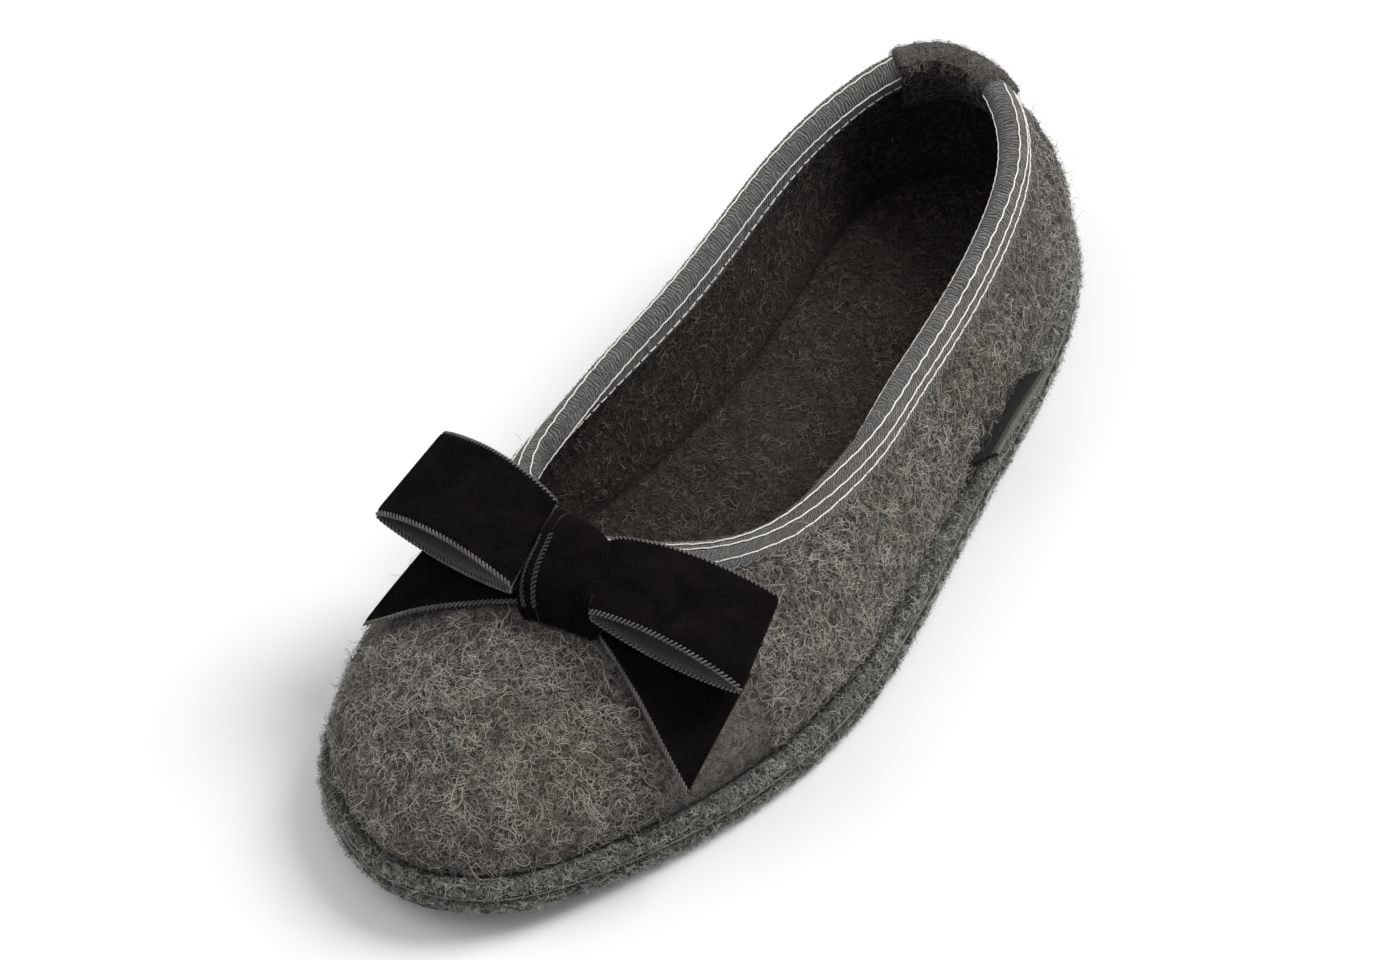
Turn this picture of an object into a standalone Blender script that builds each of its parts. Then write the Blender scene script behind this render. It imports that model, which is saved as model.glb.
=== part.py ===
"""A left ballerina slipper in boiled wool felt, with a velvet ribbon bow.

Metres, +Z up. The toe points to -Y and the outer side of the foot to +X.
The slipper stands on z = 0.
"""

import math
from collections import namedtuple

import bpy
import numpy as np
from mathutils.bvhtree import BVHTree

# Driving sizes
LENGTH = 0.255
BALL_WIDTH = 0.099
THROAT_HEIGHT = 0.0407
HEEL_HEIGHT = 0.0525
TOE_SPRING = 0.0062
SPRING_START = 0.26

# Sole
OUTSOLE_THICK = 0.0050
OUTSOLE_STEP = 0.0009
OUTSOLE_UNDERCUT = 0.0022
RIB_PITCH = 0.0046
RIB_DEPTH = 0.0012
RIB_SIDE = 0.0007
RAND_HEIGHT = 0.0042
RAND_THICK = 0.0036
RAND_INSET = 0.0005
INSOLE_THICK = 0.0050
ARCH_RISE = 0.0015

# Upper
WALL = 0.0035
SWELL = 0.0060
RIM_ROUND = 0.35
GAP = 0.0003

# Collar trims
TAPE_THICK = 0.0009
TAPE_FRONT = 0.0105
TAPE_BACK = 0.0070
TAPE_INSIDE = 0.0085
TAB_THICK = 0.0018
TAB_WIDTH = 0.029
TAB_SHIFT = -0.0035
TAB_OUTSIDE = 0.009
TAB_INSIDE = 0.015

# Velvet bow
BOW_SPAN = 0.098
BOW_SETBACK = 0.0180
RIBBON_WIDTH = 0.027
RIBBON_THICK = 0.0013
LOOP_HEIGHT = 0.0092
LOOP_CROWN = 0.60
LOOP_SEAT = 0.0076
LOOP_PINCH = 0.0017
KNOT_HEIGHT = 0.0105
TAIL_DROOP = 0.55

# Side tag
TAG_LENGTH = 0.030
TAG_PROUD = 0.0090
TAG_THICK = 0.0012
TAG_TILT = 50.0
TAG_PLACE = 0.680
TAG_LIFT = 0.13

# Facets
AROUND = 80
UP_THE_SIDE = 9

WOOL = (0.115, 0.105, 0.095)
DARK_WOOL = (0.055, 0.055, 0.050)
INNER_WOOL = (0.070, 0.062, 0.054)
TAPE_GREY = (0.20, 0.195, 0.185)
VELVET_BLACK = (0.010, 0.009, 0.008)
LABEL_BLACK = (0.012, 0.012, 0.012)

# Each row is one section round the slipper, from the toe along the outer side to the heel and back.
# along and collar_along are shares of LENGTH from the toe, across and collar_across are shares of
# BALL_WIDTH, rise is how far the collar has climbed from THROAT_HEIGHT to HEEL_HEIGHT, swell is the
# wall's bulge as a share of SWELL, shoulder and dip are shares of the wall's height, and reach is a
# share of the wall's run from the sole to the collar.
Section = namedtuple("Section", "name along across collar_along collar_across rise swell shoulder reach dip")
SECTIONS = (
    Section("toe", 0.000, -0.054, 0.330, -0.031, 0.00, 0.40, 0.68, 0.40, 0.03),
    Section("toe outer", 0.030, 0.154, 0.346, 0.088, 0.00, 0.40, 0.66, 0.40, 0.04),
    Section("front outer", 0.090, 0.278, 0.371, 0.201, 0.05, 0.50, 0.60, 0.40, 0.06),
    Section("ball front outer", 0.180, 0.402, 0.408, 0.275, 0.13, 0.60, 0.54, 0.38, 0.10),
    Section("ball outer", 0.300, 0.506, 0.458, 0.310, 0.24, 0.70, 0.48, 0.36, 0.16),
    Section("waist front outer", 0.420, 0.524, 0.522, 0.330, 0.29, 0.75, 0.42, 0.34, 0.22),
    Section("waist outer", 0.540, 0.484, 0.593, 0.320, 0.31, 0.80, 0.38, 0.34, 0.28),
    Section("waist rear outer", 0.660, 0.440, 0.681, 0.304, 0.34, 0.95, 0.36, 0.38, 0.32),
    Section("heel front outer", 0.780, 0.396, 0.773, 0.275, 0.48, 1.15, 0.34, 0.44, 0.34),
    Section("heel outer", 0.890, 0.313, 0.856, 0.215, 0.71, 1.25, 0.34, 0.48, 0.36),
    Section("heel corner outer", 0.970, 0.173, 0.913, 0.100, 0.95, 1.20, 0.34, 0.48, 0.36),
    Section("heel", 1.000, -0.029, 0.936, -0.026, 1.00, 1.10, 0.34, 0.48, 0.36),
    Section("heel corner inner", 0.970, -0.225, 0.919, -0.145, 0.98, 1.00, 0.34, 0.44, 0.36),
    Section("heel inner", 0.890, -0.333, 0.856, -0.230, 0.79, 0.85, 0.36, 0.36, 0.36),
    Section("heel front inner", 0.780, -0.328, 0.769, -0.272, 0.58, 0.75, 0.36, 0.28, 0.36),
    Section("waist rear inner", 0.660, -0.297, 0.676, -0.279, 0.36, 0.65, 0.38, 0.22, 0.36),
    Section("waist inner", 0.540, -0.308, 0.588, -0.287, 0.19, 0.60, 0.38, 0.18, 0.36),
    Section("waist front inner", 0.420, -0.387, 0.512, -0.305, 0.09, 0.55, 0.40, 0.18, 0.34),
    Section("ball inner", 0.300, -0.492, 0.442, -0.311, 0.06, 0.50, 0.44, 0.22, 0.26),
    Section("ball front inner", 0.180, -0.520, 0.385, -0.298, 0.06, 0.45, 0.50, 0.30, 0.16),
    Section("front inner", 0.090, -0.431, 0.346, -0.241, 0.05, 0.40, 0.58, 0.36, 0.08),
    Section("toe inner", 0.030, -0.275, 0.329, -0.141, 0.01, 0.40, 0.64, 0.40, 0.04),
)
HEEL_SECTION = 11


def ring(column, at):
    """The column's value at each place in at, on a smooth closed curve through all sections."""
    values = np.array([getattr(row, column) for row in SECTIONS])
    count = len(values)
    following = np.roll(values, -1)
    system = 4 * np.eye(count) + np.roll(np.eye(count), 1, axis=0) + np.roll(np.eye(count), -1, axis=0)
    slopes = np.linalg.solve(system, 3 * (following - np.roll(values, 1)))
    at = np.asarray(at) % count
    start = np.floor(at).astype(int) % count
    end = (start + 1) % count
    t = at - np.floor(at)
    return (
        values[start] * (2 * t**3 - 3 * t**2 + 1)
        + slopes[start] * (t**3 - 2 * t**2 + t)
        + values[end] * (3 * t**2 - 2 * t**3)
        + slopes[end] * (t**3 - t**2)
    )


def unit(vectors):
    return vectors / np.linalg.norm(vectors, axis=-1, keepdims=True)


def plan_curve(across, along, at, inset):
    """Points of a closed curve in plan, moved in by inset, and the outward directions there."""
    step = 0.01

    def point(place):
        return np.stack([ring(across, place) * BALL_WIDTH, (ring(along, place) - 0.5) * LENGTH], axis=-1)

    tangent = unit(point(at + step) - point(at - step))
    outward = np.stack([tangent[..., 1], -tangent[..., 0]], axis=-1)
    return point(at) - inset * outward, outward


def outline(at, inset=0.0):
    """Points of the sole's edge in plan, moved in by inset, and the outward directions there."""
    return plan_curve("across", "along", at, inset)


def floor_lift(y):
    """How far the sole's parts have risen with the toe spring at this place along the slipper."""
    run = np.clip((SPRING_START * LENGTH - (np.asarray(y) + 0.5 * LENGTH)) / (SPRING_START * LENGTH), 0, 1)
    return TOE_SPRING * run**2


def even_places(count):
    """Places round the sections that are evenly spaced along the sole's edge."""
    fine = np.linspace(0, len(SECTIONS), 2001)
    points, _ = outline(fine)
    walked = np.concatenate([[0], np.cumsum(np.linalg.norm(np.diff(points, axis=0), axis=1))])
    return np.interp(np.linspace(0, walked[-1], count, endpoint=False), walked, fine)


RAND_TOP = OUTSOLE_THICK + GAP + RAND_HEIGHT
UPPER_INSET = RAND_INSET + RAND_THICK + GAP
INSOLE_INSET = UPPER_INSET + WALL + GAP


def wall_curve(at, steps):
    """The felt's outer face from the top of the rand to the collar: an array of steps x places x 3."""
    base, outward = outline(at, UPPER_INSET)
    bottom = RAND_TOP + floor_lift(base[:, 1])
    edge, _ = plan_curve("collar_across", "collar_along", at, -0.5 * WALL)
    collar = np.column_stack([edge, THROAT_HEIGHT + ring("rise", at) * (HEEL_HEIGHT - THROAT_HEIGHT)])
    foot = np.column_stack([base, bottom])
    out = np.column_stack([outward, np.zeros(len(at))])
    up = np.array([0.0, 0.0, 1.0])
    tall = (collar[:, 2] - foot[:, 2])[:, None]
    swell = (SWELL * ring("swell", at))[:, None]
    run = (foot - collar) * np.array([1.0, 1.0, 0.0])
    lower = foot + out * swell + up * tall * ring("shoulder", at)[:, None]
    upper = collar + run * ring("reach", at)[:, None] + out * swell * 0.4 - up * tall * ring("dip", at)[:, None]
    t = np.asarray(steps)[:, None, None]
    return foot * (1 - t) ** 3 + 3 * lower * t * (1 - t) ** 2 + 3 * upper * t**2 * (1 - t) + collar * t**3


def wall_frame(at, steps):
    """Points of the outer face, its outward normals and its directions up the wall."""
    nudge = 0.004
    points = wall_curve(at, steps)
    along = wall_curve(at + nudge, steps) - wall_curve(at - nudge, steps)
    steps = np.asarray(steps)
    up = unit(wall_curve(at, steps + nudge) - wall_curve(at, steps - nudge))
    return points, unit(np.cross(along, up)), up


def rim_arc(edge, normal, up, stand, count):
    """Points over the felt's rounded top edge, from outside to inside, stand away from the felt."""
    middle = edge - normal * WALL / 2
    rows = []
    for k in range(1, count + 1):
        angle = math.pi * k / (count + 1)
        rows.append(
            middle
            + normal * math.cos(angle) * (WALL / 2 + stand)
            + up * math.sin(angle) * (WALL * RIM_ROUND + stand)
        )
    return rows


def upper_rings(around, steps_up):
    """Closed rings of the felt upper, up the outside, over the rim and down the inside."""
    at = even_places(around)
    steps = np.linspace(0, 1, steps_up + 1)
    points, normals, up = wall_frame(at, steps)
    base, outward = outline(at, UPPER_INSET)
    low = OUTSOLE_THICK + GAP + floor_lift(base[:, 1])
    out = np.column_stack([outward, np.zeros(around)])
    foot = np.column_stack([base, low])
    normals[0] = out
    inner = points - normals * WALL
    rings = [foot] + list(points)
    rings += rim_arc(points[-1], normals[-1], up[-1], 0.0, 3)
    rings += list(inner[::-1]) + [foot - out * WALL]
    return rings


def trim_section(at, outside, inside, stand, thick, legs, arc):
    """Closed sections of a trim folded over the collar, one at each place."""
    steps = np.linspace(0.25, 1, 61)
    points, normals, up = wall_frame(at, steps)
    lengths = np.linalg.norm(np.diff(points, axis=0), axis=2)
    below = np.concatenate([np.cumsum(lengths[::-1], axis=0)[::-1], np.zeros((1, len(at)))])

    def leg(share, reach, away):
        """Points at this share of the reach below the edge, away from the felt's outer face."""
        shifted = points + normals * away
        found = []
        for k, full in enumerate(np.broadcast_to(reach, len(at))):
            row = [np.interp(share * full, below[::-1, k], shifted[::-1, k, axis]) for axis in range(3)]
            found.append(row)
        return np.array(found)

    near, far = stand, stand + thick
    shares = np.linspace(0, 1, legs + 1)
    section = [leg(share, outside, far) for share in shares[::-1]]
    section += rim_arc(points[-1], normals[-1], up[-1], far, arc)
    section += [leg(share, inside, -WALL - far) for share in shares]
    section += [leg(share, inside, -WALL - near) for share in shares[::-1]]
    section += rim_arc(points[-1], normals[-1], up[-1], near, arc)[::-1]
    section += [leg(share, outside, near) for share in shares]
    return np.array(section).transpose(1, 0, 2)


def material(name, colour, roughness):
    made = bpy.data.materials.new(name)
    made.use_nodes = True
    shader = made.node_tree.nodes["Principled BSDF"]
    shader.inputs["Base Color"].default_value = (*colour, 1.0)
    shader.inputs["Roughness"].default_value = roughness
    return made


def add_solid(name, rings, finish, closed_round, closed_along, smooth=True):
    """A mesh from rings of equally many points.

    closed_round joins each ring's last point to its first, and closed_along joins the last ring to
    the first. Rings that aren't joined along are capped at both ends.
    """
    count = len(rings[0])
    points = np.concatenate(rings)
    faces = []
    last = len(rings) if closed_along else len(rings) - 1
    for i in range(last):
        a, b = i * count, ((i + 1) % len(rings)) * count
        for j in range(count if closed_round else count - 1):
            k = (j + 1) % count
            faces.append((a + j, a + k, b + k, b + j))
    if not closed_along:
        faces.append(tuple(range(count))[::-1])
        faces.append(tuple((len(rings) - 1) * count + j for j in range(count)))
    mesh = bpy.data.meshes.new(name)
    mesh.from_pydata([tuple(p) for p in points], [], faces)
    mesh.materials.append(finish)
    mesh.update()
    made = bpy.data.objects.new(name, mesh)
    bpy.context.scene.collection.objects.link(made)
    face_out(mesh)
    if smooth:
        mesh.shade_smooth()
        mesh.set_sharp_from_angle(angle=math.radians(50))
    return made


def face_out(mesh):
    """Turns every face round if the closed mesh is inside out."""
    mesh.calc_loop_triangles()
    volume = 0.0
    for triangle in mesh.loop_triangles:
        a, b, c = (mesh.vertices[v].co for v in triangle.vertices)
        volume += a.dot(b.cross(c))
    if volume < 0:
        mesh.flip_normals()


def edge_at(inset):
    """A function that gives the sole edge's lowest and highest x at each y, for an outline moved in."""
    points, _ = outline(even_places(1200), inset)
    toe, heel = int(np.argmin(points[:, 1])), int(np.argmax(points[:, 1]))
    turned = np.roll(points, -toe, axis=0)
    heel = (heel - toe) % len(points)
    outer, inner = turned[: heel + 1], np.vstack([turned[heel:], turned[:1]])[::-1]

    def span(y):
        return np.interp(y, inner[:, 1], inner[:, 0]), np.interp(y, outer[:, 1], outer[:, 0])

    return span, float(points[:, 1].min()), float(points[:, 1].max())


def outsole_rings():
    """Sections across the sole, with a flat-topped rib and a groove in each pitch."""
    span, toe, heel = edge_at(0.0)
    count = int((heel - toe) / RIB_PITCH)
    first = 0.5 * (toe + heel - count * RIB_PITCH)
    stations = [(toe + 0.0001, True), (toe + 0.0005, True)]
    for k in range(count):
        start = first + k * RIB_PITCH
        for share, proud in ((0.06, True), (0.52, True), (0.68, False), (0.90, False)):
            y = start + share * RIB_PITCH
            if toe + 0.001 < y < heel - 0.001:
                stations.append((y, proud))
    stations += [(heel - 0.0005, True), (heel - 0.0001, True)]
    rings = []
    for y, proud in stations:
        low, high = span(y)
        middle = 0.5 * (low + high)
        side = 0.0 if proud else RIB_SIDE
        bottom = 0.0 if proud else RIB_DEPTH
        half = 0.5 * (high - low)
        step = min(OUTSOLE_STEP, 0.3 * half)
        under = min(OUTSOLE_UNDERCUT, 0.3 * half)
        side = min(side, 0.3 * half)
        lift = float(floor_lift(y))
        section = (
            (middle - half + step, OUTSOLE_THICK),
            (middle - half + side, 0.55 * OUTSOLE_THICK),
            (middle - half + side + under, bottom),
            (middle + half - side - under, bottom),
            (middle + half - side, 0.55 * OUTSOLE_THICK),
            (middle + half - step, OUTSOLE_THICK),
        )
        rings.append(np.array([(x, y, z + lift) for x, z in section]))
    return rings


def insole_rings():
    """Sections across the footbed, which rises a little under the arch."""
    span, toe, heel = edge_at(INSOLE_INSET)
    middle_y, half_y = 0.5 * (toe + heel), 0.5 * (heel - toe)
    rings = []
    for k in range(1, 32):
        y = middle_y - half_y * math.cos(math.pi * k / 32)
        low, high = span(y)
        base = OUTSOLE_THICK + GAP + float(floor_lift(y))
        top = base + INSOLE_THICK
        arch = ARCH_RISE * math.exp(-(((y - 0.06 * LENGTH) / (0.14 * LENGTH)) ** 2))
        width = high - low
        section = (
            (low, base),
            (low, top - 0.0008 + arch),
            (low + 0.12 * width, top + arch),
            (high - 0.12 * width, top),
            (high, top - 0.0008),
            (high, base),
        )
        rings.append(np.array([(x, y, z) for x, z in section]))
    return rings


def rand_rings(around):
    """Closed rings of the felt edging that wraps the foot of the upper."""
    at = even_places(around)
    low = OUTSOLE_THICK + GAP
    high = RAND_TOP - GAP
    inner = RAND_INSET + RAND_THICK
    profile = (
        (RAND_INSET + 0.0004, low),
        (RAND_INSET, low + 0.40 * RAND_HEIGHT),
        (RAND_INSET + 0.12 * RAND_THICK, low + 0.75 * RAND_HEIGHT),
        (RAND_INSET + 0.50 * RAND_THICK, high),
        (inner, high - 0.0004),
        (inner, low),
    )
    rings = []
    for inset, z in profile:
        points, _ = outline(at, inset)
        rings.append(np.column_stack([points, z + floor_lift(points[:, 1])]))
    return rings


def collar_places(low, high, count):
    """Places whose collar points are evenly spaced, from low to high past the heel's middle.

    Lengths run along the collar from the heel's middle towards the inner side, and a high below low
    ends its way once round the shoe.
    """
    fine = np.linspace(HEEL_SECTION - len(SECTIONS), HEEL_SECTION + len(SECTIONS), 4001)
    points = wall_curve(fine, [1.0])[0]
    walked = np.concatenate([[0], np.cumsum(np.linalg.norm(np.diff(points, axis=0), axis=1))])
    walked -= 0.5 * walked[-1]
    if high < low:
        high += walked[-1]
    return np.interp(np.linspace(low, high, count), walked, fine)


def tape_reach(at):
    """How far the tape comes down outside: from TAPE_FRONT at the throat to TAPE_BACK at the heel."""
    along = ring("collar_along", at)
    front, back = ring("collar_along", 0.0), ring("collar_along", float(HEEL_SECTION))
    share = np.clip((along - front) / (back - front), 0, 1)
    return TAPE_BACK + (TAPE_FRONT - TAPE_BACK) * (1 - share) ** 1.5


# Each row is one loop of the bow. Across and along are shares of BOW_SPAN from the bow's middle, the
# turns are degrees that the ribbon's edge turns from the slipper's length, gather is the share of
# RIBBON_WIDTH left at the knot, and fold_drop is a share of LOOP_HEIGHT below the root.
Loop = namedtuple("Loop", "name root_across root_along root_turn gather fold_across fold_along fold_turn fold_drop")
LOOPS = (
    Loop("bow_loop_left", -0.102, 0.029, 10.3, 0.95, -0.492, 0.111, 0.6, 0.24),
    Loop("bow_loop_right", 0.080, 0.015, 18.7, 0.78, 0.466, 0.044, 14.0, 0.54),
)

# Each row is one tail. Its root is told as a loop's is, and its slanting cut runs between a rear and a
# front tip, in shares of BOW_SPAN from the bow's middle.
Tail = namedtuple("Tail", "name root_across root_along root_turn gather rear_across rear_along front_across front_along")
TAILS = (
    Tail("bow_tail_left", -0.105, 0.048, 10.3, 0.82, -0.370, 0.050, -0.412, -0.222),
    Tail("bow_tail_right", 0.077, 0.025, 18.7, 0.66, 0.440, 0.030, 0.452, -0.268),
)


def height_over(pieces):
    """A function that gives the highest point of the pieces over a small square round x, y."""
    trees = []
    for piece in pieces:
        corners = [tuple(v.co) for v in piece.data.vertices]
        trees.append(BVHTree.FromPolygons(corners, [tuple(p.vertices) for p in piece.data.polygons]))

    def seat(x, y, reach=0.0015):
        best = -1.0
        for dx in (-reach, 0.0, reach):
            for dy in (-reach, 0.0, reach):
                for tree in trees:
                    hit = tree.ray_cast((x + dx, y + dy, 1.0), (0.0, 0.0, -1.0))[0]
                    if hit is not None:
                        best = max(best, hit.z)
        return best

    return seat


def turned(degrees):
    """The direction from a ribbon's front edge to its rear edge, turned this far to the inner side."""
    angle = math.radians(degrees)
    return np.array([-math.sin(angle), math.cos(angle)])


def knot_middle():
    """The bow's middle in plan, BOW_SETBACK in front of the throat."""
    throat, _ = plan_curve("collar_across", "collar_along", np.array([0.0]), 0.0)
    return throat[0] + np.array([0.02 * BOW_SPAN, -BOW_SETBACK])


def root_point(row, side, middle):
    """A point of a ribbon's edge at the knot, in plan, from 1 at the rear edge to -1 at the front edge."""
    half = 0.5 * RIBBON_WIDTH * row.gather * side
    return middle + BOW_SPAN * np.array([row.root_across, row.root_along]) + half * turned(row.root_turn)


def fold_point(row, side, middle):
    """A point of a loop's fold, in plan, from 1 at the rear edge to -1 at the front edge."""
    half = 0.5 * RIBBON_WIDTH * side
    return middle + BOW_SPAN * np.array([row.fold_across, row.fold_along]) + half * turned(row.fold_turn)


def loop_rings(row, middle, root_height):
    """Sections across the ribbon, out along the lower layer, round the fold and back along the upper."""
    pinch = 0.5 * LOOP_PINCH
    swell = LOOP_HEIGHT - RIBBON_THICK - LOOP_PINCH
    steps = np.linspace(0, 1, 9)
    rings = []
    edges = []
    for side in (1, 0, -1):
        root, fold = root_point(row, side, middle), fold_point(row, side, middle)
        run = np.linalg.norm(fold - root) - pinch - 0.5 * RIBBON_THICK
        heading = (fold - root) / np.linalg.norm(fold - root)
        mid = root_height - row.fold_drop * LOOP_HEIGHT * steps
        open_by = swell * np.sin(math.pi * steps) ** 0.8
        lower = np.column_stack([run * steps, mid - pinch - (1 - LOOP_CROWN) * open_by])
        upper = np.column_stack([run * steps, mid + pinch + LOOP_CROWN * open_by])
        turns = np.radians([-45.0, 0.0, 45.0])
        bend = np.column_stack([run + pinch * np.cos(turns), mid[-1] + pinch * np.sin(turns)])
        path = np.vstack([lower, bend, upper[::-1]])
        tangent = unit(np.gradient(path, axis=0))
        normal = np.column_stack([tangent[:, 1], -tangent[:, 0]])
        faces = []
        for away in (0.5 * RIBBON_THICK, -0.5 * RIBBON_THICK):
            flat = path + away * normal
            flat[0, 0] = flat[-1, 0] = 0.0
            faces.append(np.column_stack([root + flat[:, :1] * heading, flat[:, 1]]))
        edges.append(faces)
    for k in range(len(edges[0][0])):
        outer = [edge[0][k] for edge in edges]
        inner = [edge[1][k] for edge in edges[::-1]]
        rings.append(np.array(outer + inner))
    return rings


def knot_rings(middle, seat):
    """Sections across the knot from rear to front, with upright sides and a crowned top."""
    rings = []
    left, right = LOOPS
    rear_left, rear_right = root_point(left, 1, middle), root_point(right, 1, middle)
    front_left, front_right = root_point(left, -1, middle), root_point(right, -1, middle)
    for share, narrow, tall in (
        (0.00, 0.78, 0.62),
        (0.06, 0.94, 0.86),
        (0.18, 1.00, 0.96),
        (0.34, 1.00, 1.00),
        (0.50, 1.00, 1.00),
        (0.66, 1.00, 1.00),
        (0.82, 1.00, 0.94),
        (0.94, 0.94, 0.82),
        (1.00, 0.80, 0.60),
    ):
        a = rear_left + share * (front_left - rear_left)
        b = rear_right + share * (front_right - rear_right)
        half = 0.5 * (np.linalg.norm(b - a) - 2 * GAP) * narrow
        centre, across = 0.5 * (a + b), (b - a) / np.linalg.norm(b - a)
        places = [centre + across * half * k for k in (-1.0, -0.5, 0.0, 0.5, 1.0)]
        foot = max(seat(x, y, 0.002) for x, y in places) + GAP
        top = foot + KNOT_HEIGHT * tall
        section = [(-1.0, foot), (-1.0, top - 0.42 * KNOT_HEIGHT), (-0.88, top - 0.17 * KNOT_HEIGHT)]
        section += [(-0.45, top - 0.02 * KNOT_HEIGHT), (0.0, top), (0.45, top - 0.02 * KNOT_HEIGHT)]
        section += [(0.88, top - 0.17 * KNOT_HEIGHT), (1.0, top - 0.42 * KNOT_HEIGHT), (1.0, foot)]
        rings.append(np.array([(*(centre + across * half * k), z) for k, z in section]))
    return rings


def tail_rings(row, middle, seat):
    """Sections across a tail, which lies on the vamp and bends down no more steeply than TAIL_DROOP."""
    rear_tip = middle + BOW_SPAN * np.array([row.rear_across, row.rear_along])
    front_tip = middle + BOW_SPAN * np.array([row.front_across, row.front_along])
    columns = []
    for side in np.linspace(1, -1, 5):
        root = root_point(row, side, middle)
        tip = 0.5 * (1 + side) * rear_tip + 0.5 * (1 - side) * front_tip
        step = np.linalg.norm(tip - root) / 10
        column = []
        low = -1.0
        for share in np.linspace(0, 1, 11):
            x, y = root + share * (tip - root)
            low = max(seat(x, y, 0.003) + GAP, low - TAIL_DROOP * step)
            column.append((x, y, low))
        columns.append(np.array(column))
    rings = []
    for k in range(11):
        under = np.array([column[k] for column in columns])
        over = under[::-1] + np.array([0.0, 0.0, RIBBON_THICK])
        rings.append(np.vstack([under, over]))
    return rings


def tag_rings():
    """Sections of the folded label that stands out of the wall on the outer side."""
    fine = np.linspace(0, HEEL_SECTION, 2001)
    half = 0.5 * TAG_LENGTH / LENGTH
    at = np.interp(np.linspace(TAG_PLACE - half, TAG_PLACE + half, 7), ring("along", fine), fine)
    points, normals, up = wall_frame(at, [TAG_LIFT])
    tilt = math.radians(TAG_TILT)
    reach = normals[0] * math.cos(tilt) + up[0] * math.sin(tilt)
    side = up[0] * math.cos(tilt) - normals[0] * math.sin(tilt)
    foot = points[0] + normals[0] * (GAP + 0.5 * TAG_THICK * math.sin(tilt))
    rings = []
    for base, out, over in zip(foot, reach, side):
        low, high = base - 0.5 * TAG_THICK * over, base + 0.5 * TAG_THICK * over
        tip = base + TAG_PROUD * out
        rings.append(np.array([low, low + 0.94 * TAG_PROUD * out, tip, high + 0.94 * TAG_PROUD * out, high]))
    return rings


def build():
    for old in list(bpy.data.objects):
        bpy.data.objects.remove(old)

    wool = material("boiled_wool", WOOL, 0.95)
    dark = material("edge_felt", DARK_WOOL, 0.95)
    inside = material("footbed_felt", INNER_WOOL, 0.95)
    tape = material("rib_tape", TAPE_GREY, 0.8)
    velvet = material("velvet", VELVET_BLACK, 0.9)
    label = material("label_satin", LABEL_BLACK, 0.35)

    add_solid("outsole", outsole_rings(), dark, True, False)
    add_solid("rand", rand_rings(AROUND), dark, True, True)
    add_solid("insole", insole_rings(), inside, True, False)
    upper = add_solid("upper", upper_rings(AROUND, UP_THE_SIDE), wool, True, True)

    tab_low, tab_high = TAB_SHIFT - 0.5 * TAB_WIDTH, TAB_SHIFT + 0.5 * TAB_WIDTH
    at = collar_places(-tab_low + GAP, -tab_high - GAP, 68)
    section = trim_section(at, tape_reach(at), TAPE_INSIDE, GAP, TAPE_THICK, 2, 3)
    collar_tape = add_solid("collar_tape", list(section), tape, True, False)

    at = collar_places(-tab_high, -tab_low, 9)
    section = trim_section(at, TAB_OUTSIDE, TAB_INSIDE, GAP, TAB_THICK, 3, 3)
    add_solid("heel_tab", list(section), wool, True, False)

    middle = knot_middle()
    seat = height_over([upper, collar_tape])
    knot = knot_rings(middle, seat)
    add_solid("bow_knot", knot, velvet, True, False)
    root_height = knot[4][0, 2] + LOOP_SEAT
    for row in LOOPS:
        add_solid(row.name, loop_rings(row, middle, root_height), velvet, True, False)
    for row in TAILS:
        add_solid(row.name, tail_rings(row, middle, seat), velvet, True, False)
    add_solid("side_tag", tag_rings(), label, True, False)


build()
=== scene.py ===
"""The looks of a left ballerina slipper in boiled wool felt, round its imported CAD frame.

Metres, +Z up. The toe points to -Y and the outer side of the foot to +X.
"""

import itertools
import math

import bpy
import numpy as np
from mathutils import Matrix, Vector
from mathutils.bvhtree import BVHTree
from mathutils.kdtree import KDTree


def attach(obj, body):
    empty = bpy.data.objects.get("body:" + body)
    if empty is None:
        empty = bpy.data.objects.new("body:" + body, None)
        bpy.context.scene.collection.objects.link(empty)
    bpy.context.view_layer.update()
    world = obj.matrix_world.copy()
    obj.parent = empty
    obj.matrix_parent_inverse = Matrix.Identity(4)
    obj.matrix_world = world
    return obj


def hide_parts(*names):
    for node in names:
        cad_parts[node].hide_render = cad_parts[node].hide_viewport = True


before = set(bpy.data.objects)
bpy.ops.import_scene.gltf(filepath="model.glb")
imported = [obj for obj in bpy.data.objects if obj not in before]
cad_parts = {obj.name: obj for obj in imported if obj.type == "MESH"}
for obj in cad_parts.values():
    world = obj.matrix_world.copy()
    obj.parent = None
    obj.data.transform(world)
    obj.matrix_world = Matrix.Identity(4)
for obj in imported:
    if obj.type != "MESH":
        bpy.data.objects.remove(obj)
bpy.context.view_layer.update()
chance = np.random.default_rng(11)

# Sizes of the CAD model
LENGTH = 0.255
BALL_WIDTH = 0.099
THROAT_HEIGHT = 0.0407
HEEL_HEIGHT = 0.0525
TOE_SPRING = 0.0062
SPRING_START = 0.26
OUTSOLE_THICK = 0.0050
OUTSOLE_STEP = 0.0009
OUTSOLE_UNDERCUT = 0.0022
RIB_PITCH = 0.0046
RIB_DEPTH = 0.0012
RIB_SIDE = 0.0007
RAND_HEIGHT = 0.0042
RAND_THICK = 0.0036
RAND_INSET = 0.0005
INSOLE_THICK = 0.0050
ARCH_RISE = 0.0015
WALL = 0.0035
SWELL = 0.0060
RIM_ROUND = 0.35
GAP = 0.0003
TAPE_THICK = 0.0009
TAB_WIDTH = 0.029
TAB_SHIFT = -0.0035
TAB_OUTSIDE = 0.009
TAB_INSIDE = 0.015
BOW_SPAN = 0.098
BOW_SETBACK = 0.0180
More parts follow.
